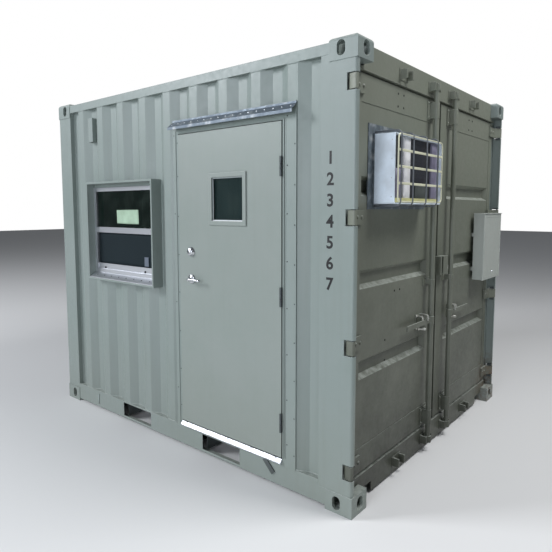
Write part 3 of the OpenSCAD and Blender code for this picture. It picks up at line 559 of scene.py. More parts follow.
# The cargo end: the wall's paint made browner and darker as painted shade, and darker still towards the
# foot, also painted shade.
END_PAINT_WITH_PAINTED_SHADE = MarinePaint(
    "grey_green_paint_with_painted_shade",
    "74786c",
    0.48,
    dirt=0.3,
    rust=0.45,
    # This near-black foot tint, reaching 2.1 m up, is painted shade.
    dust="2e3028",
    foot_dust_and_shade_top=2.1,
    foot_dust_and_shade_most=1.5,
)
# Enamel baked on sheet, flat and even, with hardly any peel to see.
BOX_ENAMEL = MarinePaint("grey_powder_coat", "a3a8a2", 0.45, dirt=0.1, rust=0.0, slot="grey_enamel")
# Oiled steel that has gone nearly black, with a dull metal sheen.
HINGE_STEEL = Finish("dark_hinge_steel", "4a5051", 0.45, 0.5, slot="satin_steel")
# Brushed chrome plate: soft, bright highlights.
CHROME = Finish("satin_chrome", "c9cccf", 0.26, 1.0, slot="satin_steel")
# Bright zinc on screw heads: a small glint each.
ZINC_SCREW = Finish("bright_zinc_screws", "cfd3d6", 0.3, 0.9, slot="satin_steel")
# Hot dip zinc that has dulled to a blue grey, on the cap, the angle and the worn catches; the angle's copy
# is darker, painted shade of an angle that stands partly in shade.
ZINC = Zinc("galvanised_sheet", "5f6972", 0.5, 0.55, slot="galvanised_steel")
SHADED_ANGLE_ZINC = Zinc("galvanised_angle_with_painted_shade", "565f63", 0.55, 0.3, slot="galvanised_steel")
WORN_ZINC = Zinc("worn_zinc_steel", "b9b8ac", 0.4, 0.6, spangle_mm=9.0)
# Window bars and the threshold: a pale, slightly blue metal.
ALUMINIUM = MillAluminium("mill_aluminium", "c3c8d4", 0.4, 0.6, slot="mill_aluminium")
# Panes that look nearly black from outside, their dark colour painted shade of the unlit cabin behind; the
# door's is greyer with dust.
GLASS = FloatGlass("dusty_float_glass", "06140f", 0.05, slot="clear_glass")
DOOR_GLASS = FloatGlass("dusty_door_glass", "22302f", 0.05, slot="clear_glass")
# The lower pane's screen: matt, dark and slightly blue.
SCREEN = Screen("insect_screen", "141d20", 0.8, slot="black_rubber")
# Moulded plastics, tapes and rubber round the panes and the leaves: matt, with no metal in them.
SASH_PLATE = Finish("smoked_plastic_plate", "59626e", 0.5, slot="black_rubber")
GLAZING_TAPE = Finish("pale_glazing_tape", "aab3b3", 0.6, slot="black_rubber")
RUBBER = Finish("black_rubber_seal", "17181a", 0.75, slot="black_rubber")
PUTTY = Finish("grey_sealant", "9aa5a2", 0.7)
# Baked enamels of the air conditioner: white with a cool cast, and a violet grey.
ENAMEL = Finish("white_baked_enamel", "e4f0fb", 0.34, slot="white_enamel")
# A whiter enamel as painted highlight: on the AC's white upright, for a reflection it catches, and on the
# lit ledge under the door's pane.
HIGHLIGHT_ENAMEL = Finish("white_enamel_with_painted_highlight", "fafafd", 0.3, slot="white_enamel")
ENAMEL_SHADE = Finish("grey_violet_enamel", "87839a", 0.45, slot="white_enamel")
PAN = Finish("cream_drain_pan", "d6d49b", 0.5, slot="white_enamel")
# The coil behind the guard: dark with painted shade deep in it, with faint upright lines.
COIL = Fins("condenser_fins", "22242c", 0.6, slot="black_rubber")
# Plastic coated wire of the guard, cream across, with a soft gloss; the upright hoops get a dark grey copy,
# painted shade of hoops that stand in shadow.
CREAM_WIRE = Finish("cream_coated_wire", "dcddc2", 0.45, slot="cream_wire")
SHADED_WIRE = Finish("coated_wire_with_painted_shade", "62676c", 0.5, slot="cream_wire")
# Bitumen sprayed under the floor: dull and dark.
UNDERSEAL = Finish("dark_underseal", "4b5150", 0.8, slot="underframe_steel")
# The floor of the cabin: warm brown boards with a low sheen.
PLYWOOD = Plywood("oiled_plywood", "7d5c3b", 0.6, slot="floor_timber")
# Cut vinyl, card, and painted shade for the dark inside open holes and slots, also laid on small screw
# heads.
INK = Finish("black_vinyl", "101112", 0.5, slot="black_rubber")
CARD = Finish("pale_green_card", "9fb8a0", 0.8, slot="white_enamel")
SHADOW = Finish("painted_shade_of_holes", "14150f", 0.9, slot="black_rubber")


# ---- surfaces ----------------------------------------------------------------------


def grid_quads(
    rows: int, columns: int, close_rows: bool = False, close_columns: bool = False
) -> np.ndarray:
    """Corner numbers of the quads of a rows by columns grid of points.

    Args:
        rows: Points along the first parameter.
        columns: Points along the second parameter.
        close_rows: Join the last row to the first.
        close_columns: Join the last column to the first.

    Returns:
        An array of four point numbers for each quad.
    """
    u = np.arange(rows if close_rows else rows - 1)[:, None]
    v = np.arange(columns if close_columns else columns - 1)[None, :]
    u1, v1 = (u + 1) % rows, (v + 1) % columns
    return np.stack(
        [u * columns + v, u * columns + v1, u1 * columns + v1, u1 * columns + v], axis=-1
    ).reshape(-1, 4)


Shape = Tuple[np.ndarray, np.ndarray]


def revolved(profile: Sequence[Tuple[float, float]], segments: int = 10) -> Shape:
    """A surface of revolution about Z: point(u, v) = (r(u) cos v, r(u) sin v, h(u)).

    Args:
        profile: Radius and height pairs, from the top pole to the bottom pole.
        segments: Points round the axis.

    Returns:
        Points and quads.
    """
    line = np.array(profile, float)
    turn = np.linspace(0.0, 2.0 * np.pi, segments, endpoint=False)
    ring = np.stack([np.cos(turn), np.sin(turn)], axis=-1)
    points = np.concatenate(
        [line[:, None, :1] * ring[None], np.broadcast_to(line[:, None, 1:], (len(line), segments, 1))],
        axis=-1,
    )
    return points.reshape(-1, 3), grid_quads(len(line), segments, close_columns=True)


def swept(
    path: np.ndarray,
    section: np.ndarray,
    normal: Point,
    closed: bool = False,
    scale: Optional[np.ndarray] = None,
) -> Shape:
    """A section carried along a flat path: point(u, v) = path(u) + scale(u) (a(v) side(u) + b(v) normal).

    Args:
        path: Points of the path, in one plane.
        section: Pairs (a, b) round the section.
        normal: Unit normal of the plane that holds the path.
        closed: The path ends where it starts.
        scale: Size of the section at each point of the path.

    Returns:
        Points and quads.
    """
    if closed:
        tangent = np.roll(path, -1, axis=0) - np.roll(path, 1, axis=0)
    else:
        tangent = np.gradient(path, axis=0)
    tangent /= np.linalg.norm(tangent, axis=1, keepdims=True)
    up = np.array(normal, float)
    side = np.cross(up, tangent)
    size = np.ones(len(path)) if scale is None else scale
    offset = section[None, :, :1] * side[:, None, :] + section[None, :, 1:] * up[None, None, :]
    points = path[:, None, :] + size[:, None, None] * offset
    return points.reshape(-1, 3), grid_quads(len(path), len(section), closed, True)


def round_section(radius: float, segments: int = 8) -> np.ndarray:
    """A circle of the given radius as pairs (a, b).

    Args:
        radius: Radius in metres.
        segments: Sides of the round.

    Returns:
        Points of the outline, one row each.
    """
    turn = np.linspace(0.0, 2.0 * np.pi, segments, endpoint=False)
    return radius * np.stack([np.cos(turn), np.sin(turn)], axis=-1)


def box_section(wide: float, high: float, corner: float) -> np.ndarray:
    """A rectangle with round corners as pairs (a, b), three points to a corner.

    Args:
        wide: Width in metres.
        high: Height in metres.
        corner: Radius of the corners.

    Returns:
        Points of the outline, one row each.
    """
    turn = np.linspace(0.0, np.pi / 2.0, 3)
    arc = corner * np.stack([np.cos(turn), np.sin(turn)], axis=-1)
    middle = np.array([wide / 2.0 - corner, high / 2.0 - corner])
    quarters = []
    for k in range(4):
        c, s = round(math.cos(k * math.pi / 2)), round(math.sin(k * math.pi / 2))
        signs = np.array([1 if k in (0, 3) else -1, 1 if k in (0, 1) else -1])
        quarters.append(arc @ np.array([[c, s], [-s, c]]) + signs * middle)
    return np.concatenate(quarters)


def rounded_path(
    corners: Sequence[Point], radius: float, steps: int = 6, closed: bool = False
) -> np.ndarray:
    """A path of straight runs whose corners are quadratic curves of the given reach.

    Args:
        corners: Corner points.
        radius: How far from a corner its curve starts.
        steps: Points on each curve.
        closed: Also round the first and last corners.

    Returns:
        Points of the path: (1-t)^2 before + 2t(1-t) corner + t^2 after, for each corner.
    """
    points = np.array(corners, float)
    count = len(points)
    t = np.linspace(0.0, 1.0, steps)[:, None]
    out = [] if closed else [points[:1]]
    for k in range(0 if closed else 1, count if closed else count - 1):
        here, before, after = points[k], points[k - 1], points[(k + 1) % count]
        a = here + (before - here) * min(radius / np.linalg.norm(before - here), 0.5)
        b = here + (after - here) * min(radius / np.linalg.norm(after - here), 0.5)
        out.append((1 - t) ** 2 * a + 2 * t * (1 - t) * here + t ** 2 * b)
    if not closed:
        out.append(points[-1:])
    return np.concatenate(out)


def facing(axis: Sequence[float]) -> np.ndarray:
    """A turn that takes +Z to the given unit axis, as a matrix of column vectors.

    Args:
        axis: The direction that the shape's own +Z is to point in.

    Returns:
        The turn, as three columns.
    """
    z = np.array(axis, float)
    helper = np.array([0.0, 0.0, 1.0]) if abs(z[2]) < 0.9 else np.array([0.0, 1.0, 0.0])
    x = np.cross(helper, z)
    x /= np.linalg.norm(x)
    return np.stack([x, np.cross(z, x), z], axis=1)


def repeated(
    shape: Shape, places: np.ndarray, turn: np.ndarray, spin: Optional[np.ndarray] = None
) -> Shape:
    """Copies one shape to many places: point(k, i) = place(k) + turn . spin(k) . point(i).

    Args:
        shape: The shape that is repeated.
        places: Where each copy stands, one row each.
        turn: The turn that every copy gets, as three columns.
        spin: A turn of each copy about its own axis, in radians.

    Returns:
        All the copies as one shape.
    """
    points, quads = shape
    places = np.asarray(places, float).reshape(-1, 3)
    if spin is None:
        spin = np.zeros(len(places))
    c, s = np.cos(spin)[:, None], np.sin(spin)[:, None]
    local = np.stack(
        [c * points[None, :, 0] - s * points[None, :, 1], s * points[None, :, 0] + c * points[None, :, 1],
         np.broadcast_to(points[None, :, 2], (len(places), len(points)))], axis=-1,
    )
    moved = local @ turn.T + places[:, None, :]
    numbers = quads[None] + (np.arange(len(places)) * len(points))[:, None, None]
    return moved.reshape(-1, 3), numbers.reshape(-1, 4)


def joined(shapes: Sequence[Shape]) -> Shape:
    """Several shapes as one list of points and quads.

    Args:
        shapes: The shapes, in order.

    Returns:
        One shape that holds them all.
    """
    starts = np.cumsum([0] + [len(points) for points, _ in shapes[:-1]])
    return (
        np.concatenate([points for points, _ in shapes]),
        np.concatenate([quads + start for (_, quads), start in zip(shapes, starts)]),
    )


def piece(
    name: str,
    shape: Shape,
    finish: Finish,
    body: str = "shell",
    bevel: float = 0.0,
    closed: bool = True,
    smooth: bool = True,
) -> bpy.types.Object:
    """Puts a shape in the scene, with its finish, riding on a body.

    Args:
        name: Name of the piece.
        shape: Points and quads.
        finish: What it is made of.
        body: The CAD body that carries it.
        bevel: Width of the rounding of its edges, or 0.
        closed: Fill open rims, so that the piece is a closed solid.
        smooth: Shade it smooth.

    Returns:
        The new object, which sits at the origin.
    """
    points, quads = shape
    mesh = bpy.data.meshes.new(name)
    mesh.from_pydata(points, [], quads)
    shell = bmesh.new()
    shell.from_mesh(mesh)
    bmesh.ops.remove_doubles(shell, verts=shell.verts, dist=0.02 * MM)
    if closed:
        bmesh.ops.holes_fill(shell, edges=shell.edges, sides=0)
        bmesh.ops.recalc_face_normals(shell, faces=shell.faces)
    shell.to_mesh(mesh)
    shell.free()
    return finish_object(name, mesh, finish, body, bevel, smooth)


def finish_object(
    name: str, mesh: bpy.types.Mesh, finish: Finish, body: str, bevel: float, smooth: bool = True
) -> bpy.types.Object:
    """Gives a mesh its object, bevel, finish and body.

    Args:
        name: The name of the piece.
        mesh: Its mesh, in the frame of the part.
        finish: Its finish.
        body: The CAD body that it rides on.
        bevel: Width of the bevel, or 0 for none.
        smooth: Whether its faces are shaded smooth.

    Returns:
        The object.
    """
    made = bpy.data.objects.new(name, mesh)
    bpy.context.scene.collection.objects.link(made)
    mesh.polygons.foreach_set("use_smooth", np.full(len(mesh.polygons), smooth))
    mesh.materials.clear()
    mesh.materials.append(finish.material())
    if bevel > 0.0:
        rounding = made.modifiers.new("rounded_edges", "BEVEL")
        rounding.width = bevel
        rounding.segments = 2
        rounding.limit_method = "ANGLE"
        rounding.angle_limit = math.radians(35.0)
        level = made.modifiers.new("flat_faces_stay_flat", "WEIGHTED_NORMAL")
        level.weight = 100
    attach(made, body)
    log.info("%s: %d faces on %s", name, len(mesh.polygons), body)
    return made


def block(low: Sequence[float], high: Sequence[float]) -> Shape:
    """A box between two corners as a swept rectangle, closed when it is put in.

    Args:
        low: The corner with the lowest coordinates.
        high: The opposite corner.

    Returns:
        The box as a shape.
    """
    a, b = np.array(low, float), np.array(high, float)
    ring = np.array([[a[0], a[1]], [b[0], a[1]], [b[0], b[1]], [a[0], b[1]]])
    levels = np.array([a[2], b[2]])
    points = np.concatenate(
        [np.broadcast_to(ring[None], (2, 4, 2)), np.broadcast_to(levels[:, None, None], (2, 4, 1))], axis=-1
    )
    return points.reshape(-1, 3), grid_quads(2, 4, close_columns=True)


def body_of(node: str) -> str:
    """Name of the CAD body that holds a node."""
    bodies = frame["record"]["behaviour"]["bodies"]
    return next(body for body, nodes in bodies.items() if node in nodes)


def softened(node: str, finish: Finish, width: float) -> bpy.types.Object:
    """A copy of a CAD node with rounded edges, which stands for it.

    Args:
        node: The name of the CAD node.
        finish: Its finish.
        width: Width of the bevel in metres.

    Returns:
        The bevelled copy.
    """
    mesh = frame["nodes"][node].data.copy()
    shell = bmesh.new()
    shell.from_mesh(mesh)
    bmesh.ops.remove_doubles(shell, verts=shell.verts, dist=0.01 * MM)
    bmesh.ops.dissolve_limit(
        shell, angle_limit=math.radians(0.5), verts=shell.verts, edges=shell.edges
    )
    shell.to_mesh(mesh)
    shell.free()
    made = finish_object(f"{node}_finished", mesh, finish, body_of(node), width)
    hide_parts(node)
    return made


def dress(node: str, finish: Finish) -> None:
    """Gives a CAD node, as it is, a better material.

    Args:
        node: The name of the CAD node.
        finish: Its finish.
    """
    materials = frame["nodes"][node].data.materials
    materials.clear()
    materials.append(finish.material())
    log.info("%s: CAD node, %s", node, finish.name)


def screw_head(radius: float = 6.0 * MM, height: float = 3.0 * MM, segments: int = 8) -> Shape:
    """A pan head: a low dome that stands on a flat.

    Args:
        radius: Radius in metres.
        height: Height in metres.
        segments: Sides of the round.

    Returns:
        The head, standing on z = 0.
    """
    return revolved(
        [(0.0, height), (0.55 * radius, 0.92 * height), (0.9 * radius, 0.6 * height),
         (radius, 0.2 * height), (radius, -height), (0.0, -height)], segments,
    )


def bolt_head(radius: float = 11.0 * MM, height: float = 8.0 * MM) -> Shape:
    """A hexagon head with a worn top on a round washer.

    Args:
        radius: Radius in metres.
        height: Height in metres.

    Returns:
        The head, standing on z = 0.
    """
    washer, thick = 1.45 * radius, 2.0 * MM
    head = [(0.0, height), (0.8 * radius, height), (radius, 0.8 * height), (radius, 0.0), (0.0, 0.0)]
    ring = [(0.0, thick), (1.35 * radius, thick), (washer, 0.0), (washer, -thick), (0.0, -thick)]
    return joined([revolved(head, 6), revolved(ring, 12)])


def bead(path: np.ndarray, radius: float, normal: Point, seed: int) -> Shape:
    """A weld bead: a round section whose size swells and shrinks along the path by seeded noise.

    Args:
        path: Points of the route.
        radius: Radius in metres.
        normal: The direction that the bead faces.
        seed: Seed of its random draws.

    Returns:
        The bead as a shape.
    """
    random = np.random.default_rng(seed)
    swell = 1.0 + 0.3 * random.standard_normal(len(path))
    return swept(path, round_section(radius, 6), normal, scale=np.clip(swell, 0.5, 1.7))


def straight(start: Point, end: Point, step: float) -> np.ndarray:
    """Points on a straight line, about one step apart.

    Args:
        start: Where it starts.
        end: Where it ends.
        step: Distance between the points.

    Returns:
        Points along the line, one row each.
    """
    a, b = np.array(start, float), np.array(end, float)
    count = max(2, int(np.linalg.norm(b - a) / step))
    return a + (b - a) * np.linspace(0.0, 1.0, count)[:, None]


# ---- sub-assemblies ----------------------------------------------------------------


@dataclass
class Corrugation:
    """The trapezoid wave of the long walls: crests, sloped sides and hollows."""

    pitch: float = 278 * MM
    crest: float = 72 * MM
    slope: float = 68 * MM
    depth: float = 36 * MM
    phase: float = 103 * MM
    face: float = 1.213

    def outline(self, start: float, end: float, z: float, step: float = 12 * MM) -> np.ndarray:
        """Points of the near wall's outer face at one height: y = depth clamped by distance to a hollow.

        Args:
            start: Where the outline starts, along X.
            end: Where the outline ends, along X.
            z: Height above the ground.
            step: Distance between the points.

        Returns:
            Points of the outline, one row each.
        """
        x = np.arange(start, end, step)
        s = x - self.phase
        away = np.abs(s - self.pitch * np.round(s / self.pitch))
        hollow = (self.pitch - self.crest) / 2 - self.slope
        inward = np.interp(away, [hollow, hollow + self.slope], [self.depth, 0.0])
        return np.stack([x, -(self.face - inward), np.full_like(x, z)], axis=-1)


@dataclass
class Shell:
    """Posts, rails, castings, sheets and underframe, with their welds and painted digits."""

    wave: Corrugation = field(default_factory=Corrugation)
    weld_radius: float = 4.5 * MM
    digit_x: float = 1.334
    digit_top: float = 1.972
    digit_pitch: float = 113.5 * MM
    digit_height: float = 66 * MM
    digits: str = "1234567"
    strap_width: float = 34 * MM
    strap_route: Tuple[Point, ...] = (
        (0.862, 5 * MM, 0.156), (0.872, 5 * MM, 0.148), (0.937, 6 * MM, 0.083)
    )
    tab_route: Tuple[Point, Point] = ((-1.007, 3 * MM, 0.132), (-1.010, 3 * MM, 0.046))

    def dress(self) -> None:
        """Gives every shell node its paint and rounds the edges that catch the light."""
        for node, width in (
            ("bottom_corner_castings", 3.0), ("top_corner_castings", 2.0), ("cargo_end_posts", 1.5),
            ("blind_end_frame", 2.0), ("top_side_rails", 5.0), ("bottom_side_rails", 1.5),
            ("window_surround", 2.0), ("wall_vents", 1.5),
        ):
            softened(node, WALL_PAINT, width * MM)
        for node in ("cargo_end_header", "cargo_end_sill", "keepers"):
            softened(node, END_PAINT_WITH_PAINTED_SHADE, 1.5 * MM)
        for node in ("window_wall", "wall_over_door", "wall_beside_door", "plain_side_wall",
                     "blind_end_wall", "roof_panel"):
            dress(node, WALL_PAINT)
        for node in ("cross_members", "fork_pockets"):
            dress(node, UNDERSEAL)
        dress("floor_boards", PLYWOOD)
        dress("hinge_pins", HINGE_STEEL)

    def welds(self) -> None:
        """Weld beads along the foot and the ends of the near wall and round the castings."""
        rail_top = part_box("bottom_side_rails")[1].z
        rail_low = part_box("top_side_rails")[0].z
        window_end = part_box("window_wall")
        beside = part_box("wall_beside_door")
        up = (0.0, 0.0, 1.0)
        shapes = [
            bead(
                self.wave.outline(window_end[0].x + 0.004, window_end[1].x, rail_top + 2 * MM),
                self.weld_radius,
                up,
                1,
            ),
            bead(self.wave.outline(beside[0].x, beside[1].x, rail_top + 2 * MM), self.weld_radius, up, 2),
            bead(self.wave.outline(window_end[0].x + 0.004, beside[1].x, rail_low - 2 * MM), 3 * MM, up, 3),
        ]
        for seed, x in ((4, window_end[0].x + 2 * MM), (5, beside[1].x - 2 * MM)):
            y = self.wave.outline(x, x + MM, 0.0)[0, 1]
            shapes.append(
                bead(straight((x, y, rail_top), (x, y, rail_low), 12 * MM), 4 * MM, (0.0, 1.0, 0.0), seed)
            )
        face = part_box("cargo_end_posts")[0].y
        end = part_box("cargo_end_posts")[1].x
        for seed, z in (
            (6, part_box("top_corner_castings")[0].z), (7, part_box("bottom_corner_castings")[1].z)
        ):
            corner = rounded_path(
                [
                    (end - 0.172, face - MM, z),
                    (end + 2 * MM, face - MM, z),
                    (end + 2 * MM, face + 0.07, z),
                ], 18 * MM, 8
            )
            dense = np.concatenate(
                [straight(tuple(a), tuple(b), 9 * MM)[:-1] for a, b in zip(corner[:-1], corner[1:])]
            )
            shapes.append(bead(dense, 2.6 * MM, up, seed))
        piece("wall_weld_beads", joined(shapes), WALL_PAINT)

    def number(self) -> None:
        """Generic digits down the near post, made from font curves turned into thin solids."""
        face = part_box("cargo_end_posts")[0].y
        for place, digit in enumerate(self.digits):
            curve = bpy.data.curves.new(f"post_digit_{digit}", "FONT")
            curve.body = digit
            curve.align_x = "CENTER"
            curve.align_y = "CENTER"
            curve.size = self.digit_height / 0.7
            curve.offset = 2.4 * MM
            curve.extrude = 0.35 * MM
            holder = bpy.data.objects.new(curve.name, curve)
            bpy.context.scene.collection.objects.link(holder)
            bpy.context.view_layer.update()
            mesh = bpy.data.meshes.new_from_object(
                holder.evaluated_get(bpy.context.evaluated_depsgraph_get())
            )
            bpy.data.objects.remove(holder)
            mesh.transform(
                Matrix.Translation(
                    (self.digit_x, face - 0.3 * MM, self.digit_top - place * self.digit_pitch)
                )
                @ Matrix.Rotation(math.pi / 2, 4, "X")
            )
            finish_object(f"post_digit_{place}_{digit}", mesh, INK, "shell", 0.0, smooth=False)

    def small_parts(self) -> None:
        """The drain tab and the slanted strap on the bottom rail."""
        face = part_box("bottom_side_rails")[0].y
        strap = np.array([(x, face - out, z) for x, out, z in self.strap_route])
        flat = box_section(5 * MM, self.strap_width, 1 * MM)[:, ::-1]
        piece("rail_strap", swept(strap, flat, (0.0, 1.0, 0.0)), UNDERSEAL, bevel=0.5 * MM)
        tab = straight(*[(x, face - out, z) for x, out, z in self.tab_route], 0.03)
        piece("rail_tab", swept(tab, box_section(9 * MM, 6 * MM, 1 * MM), (0.0, 1.0, 0.0)), PUTTY)

    def build(self) -> None:
        """Makes and dresses the whole shell."""
        self.dress()
        self.welds()
        self.number()
        self.small_parts()


@dataclass
class SideWindow:
    """Vertical sliding window in its steel box: frame, panes, insect screen, card and catches."""

    card_low: Tuple[float, float] = (-0.699, 1.589)
    card_high: Tuple[float, float] = (-0.414, 1.693)
    catch_x: Tuple[float, float] = (-0.882, -0.350)
    catch_y: float = -1.190
    catch_height: float = 0.081
    plate_low: Tuple[float, float] = (-0.357, 1.269)
    plate_high: Tuple[float, float] = (-0.308, 1.339)
    screen_height: float = 0.252
    screen_sag: float = 2.0 * MM
    screen_back: float = 7.5 * MM
    sill_normal: Point = (0.0, -0.47, 0.88)
    screws: int = 8

    def build(self) -> None:
        """Makes and dresses the window."""
        softened("window_frame", ALUMINIUM, 1.2 * MM)
        dress("window_glass", GLASS)
        low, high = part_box("window_glass")
        self.insect_screen(low, high)
        self.card(low)
        plate = block(
            (self.plate_low[0], low.y - 0.5 * MM, self.plate_low[1]),
            (self.plate_high[0], low.y + 3 * MM, self.plate_high[1]),
        )
        piece("sash_plate", plate, SASH_PLATE, bevel=0.5 * MM)
        self.fastenings()

    def insect_screen(self, low: Point, high: Point) -> None:
        """Screen over the lower pane: y = y0 + sag sin(pi u) sin(pi v).

        Args:
            low: Lowest corner of the window's glass.
            high: Highest corner of the window's glass.
        """
        u, v = np.meshgrid(np.linspace(0, 1, 14), np.linspace(0, 1, 10), indexing="ij")
        top = low[2] + self.screen_height
        x = low[0] + u * (high[0] - low[0])
        z = low[2] + v * (top - low[2])
        y = low[1] + self.screen_back + self.screen_sag * np.sin(np.pi * u) * np.sin(np.pi * v)
        sheet = (np.stack([x, y, z], axis=-1).reshape(-1, 3), grid_quads(14, 10))
        made = piece("insect_screen", sheet, SCREEN, closed=False)
        thick = made.modifiers.new("thread", "SOLIDIFY")
        thick.thickness = 0.8 * MM

    def card(self, low: Point) -> None:
        """A blank card on the upper pane that curls a little: y = y0 - curl (2u - 1)^2.

        Args:
            low: Lowest corner of the window's glass.
        """
        u, v = np.meshgrid(np.linspace(0, 1, 16), np.linspace(0, 1, 8), indexing="ij")
        x = self.card_low[0] + u * (self.card_high[0] - self.card_low[0])
        z = self.card_low[1] + v * (
            self.card_high[1] - self.card_low[1]
        ) + 0.006 * np.sin(2.2 * u) * (v - 0.5)
        y = low[1] - 1.2 * MM - 2.5 * MM * (2 * u - 1) ** 2 * v
        made = piece(
            "window_card",
            (np.stack([x, y, z], axis=-1).reshape(-1, 3), grid_quads(16, 8)),
            CARD,
            closed=False,
        )
        thick = made.modifiers.new("card", "SOLIDIFY")
        thick.thickness = 0.4 * MM

    def fastenings(self) -> None:
        """Screws along the sloped sill and two round catches on the lower sash."""
        low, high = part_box("window_frame")
        x = np.linspace(low.x + 0.07, high.x - 0.07, self.screws)
        places = np.stack([x, np.full_like(x, low.y + 29 * MM), np.full_like(x, low.z + 21 * MM)], axis=-1)
        piece(
            "sill_screws",
            repeated(screw_head(5.5 * MM, 3.5 * MM), places, facing(self.sill_normal)),
            HINGE_STEEL,
        )
        catches = [(x, self.catch_y, low.z + self.catch_height) for x in self.catch_x]
        knob = revolved(
            [(0.0, 7 * MM), (5 * MM, 7 * MM), (8 * MM, 4 * MM), (9 * MM, -1 * MM), (0.0, -1 * MM)], 12
        )
        piece("sash_catches", repeated(knob, np.array(catches), facing(Side.DOOR_WALL.value)), RUBBER)


@dataclass
class CabinDoor:
    """Steel door leaf with its glazed light, lever set, hinges, casing screws, drip cap and threshold."""

    leaf_bevel: float = 1.6 * MM
    pin: Tuple[float, float] = (1.0025, -1.229)
    knuckle_radius: float = 8.0 * MM
    lever_x: float = 0.214
    lever_z: float = 1.226
    bolt_z: float = 1.412
    lever_length: float = 0.112
    lever_reach: float = 0.047
    knuckle_half: float = 19 * MM
    hinge_offsets: Point = (0.220, -0.016, -0.257)
    screw_columns: Tuple[Point, ...] = ((1.044, 0.296, 0.2755), (1.098, 0.242, 0.228))
    screw_top: float = 2.25
    jamb_screws: Tuple[float, ...] = (0.305, 0.571, 0.844, 1.121, 1.385, 1.650, 1.924, 2.150)
    jamb_place: Tuple[float, float] = (0.078, -1.216)
    flange_screws: Tuple[float, ...] = (0.43, 1.05, 1.668, 2.2)
    flange_x: float = 0.050
    stop_x: float = 1.018
    step_x: float = 1.034
    cap_screws: int = 17
    threshold_screws: int = 5
    threshold_line: float = -1.222

    def build(self) -> None:
        """Makes and dresses the door and its surround."""
        softened("cabin_door", DOOR_PAINT, self.leaf_bevel)
        softened("door_window_frame", DOOR_PAINT, 4 * MM)
        softened("door_frame", WALL_PAINT, 1.2 * MM)
        softened("threshold", ALUMINIUM, 1.5 * MM)
        softened("drip_cap", ZINC, 0.8 * MM)
        dress("door_window_glass", DOOR_GLASS)
        low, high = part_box("door_window_glass")
        edge, front = 12 * MM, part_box("cabin_door")[0].y + 6 * MM
        tape = rounded_path(
            [(low.x + edge, front, low.z + edge), (high.x - edge, front, low.z + edge),
             (high.x - edge, front, high.z - edge), (low.x + edge, front, high.z - edge)],
            3 * MM, 3, closed=True,
        )
        piece("glazing_tape", swept(tape, box_section(9 * MM, 4 * MM, 1 * MM), (0.0, 1.0, 0.0), closed=True),
              GLAZING_TAPE, "cabin_door")
        # A pale ledge along the foot of the pane, whose near-white is a painted highlight of the lit,
        # up-facing bottom edge.
        ledge = block(
            (low.x + 5 * MM, front - 5 * MM, low.z + 6 * MM),
            (high.x - 5 * MM, front + 2 * MM, low.z + 13 * MM),
        )
        piece("glazing_ledge_painted_highlight", ledge, HIGHLIGHT_ENAMEL, "cabin_door", bevel=1.5 * MM)
        self.lock_set()
        self.lever()
        self.hinges()
        self.screws()

    def lock_set(self) -> None:
        """Lathed rose of the lever and dead bolt cylinder, with a key slot."""
        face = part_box("cabin_door")[0].y
        rose = revolved(
            [
                (0.0, 14), (13, 14), (14, 12), (15, 10.5), (26, 10), (30, 8.5), (32.5, 5), (33, 0), (0.0, 0)
            ], 40
        )
        cylinder = revolved(
            [
                (0.0, 22), (11, 22), (11.5, 20.5), (12, 20), (22, 19.5), (24.5, 18),
                (26, 15), (28.5, 8), (31, 6), (33, 3), (33, 0), (0.0, 0),
            ],
            40,
        )
        out = facing(Side.DOOR_WALL.value)
        shapes = []
        for shape, z in ((rose, self.lever_z), (cylinder, self.bolt_z)):
            shapes.append(repeated((shape[0] * MM, shape[1]), np.array([(self.lever_x, face, z)]), out))
        made = piece("lock_roses", joined(shapes), CHROME, "cabin_door")
        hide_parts("door_hardware")
        # The key slot: a dark strip of painted shade.
        slot = block((self.lever_x - 1 * MM, face - 22.6 * MM, self.bolt_z - 5 * MM),
                     (self.lever_x + 1 * MM, face - 21.5 * MM, self.bolt_z + 5 * MM))
        piece("key_slot", slot, SHADOW, "cabin_door", bevel=0.2 * MM)

    def lever(self) -> None:
        """Lever swept from its neck round a bend and tapered to a turned-in tip."""
        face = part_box("cabin_door")[0].y
        reach = face - self.lever_reach
        corners = [(self.lever_x, face - 13 * MM, self.lever_z), (self.lever_x, reach, self.lever_z),
                   (self.lever_x + self.lever_length, reach, self.lever_z),
                   (self.lever_x + self.lever_length, reach + 16 * MM, self.lever_z)]
        path = rounded_path(corners, 17 * MM, 9)
        along = np.concatenate([[0.0], np.cumsum(np.linalg.norm(np.diff(path, axis=0), axis=1))])
        taper = np.interp(along / along[-1], [0.0, 0.25, 0.6, 1.0], [1.15, 1.1, 0.95, 0.85])
        shape = swept(path, box_section(13 * MM, 19 * MM, 5 * MM), (0.0, 0.0, 1.0), scale=taper)
        made = piece("lever_handle", shape, CHROME, "door_lever")
        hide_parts("door_lever")

    def hinges(self) -> None:
        """Middle knuckles of the three butt hinges, each turned with a chamfer at both ends."""
        r, half = self.knuckle_radius, self.knuckle_half
        knuckle = revolved(
            [
                (0.0, half),
                (0.7 * r, half),
                (r, half - 1.5 * MM),
                (r, 0.0),
                (r, -half + 1.5 * MM),
                (0.7 * r, -half),
                (0.0, -half),
            ], 20
        )
        base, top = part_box("cabin_door")[0].z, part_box("cabin_door")[1].z
        heights = [level + shift for level, shift in zip((base, (base + top) / 2, top), self.hinge_offsets)]
        places = np.array([(self.pin[0], self.pin[1], z) for z in heights])
        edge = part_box("cabin_door")[1].x - 2 * MM
        plates = [
            block(
                (edge, self.pin[1], z - half), (self.pin[0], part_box("cabin_door")[0].y + 30 * MM, z + half)
            )
            for z in heights
        ]
        shape = joined([repeated(knuckle, places, np.eye(3))] + plates)
        piece("door_hinge_knuckles", shape, HINGE_STEEL, "cabin_door")

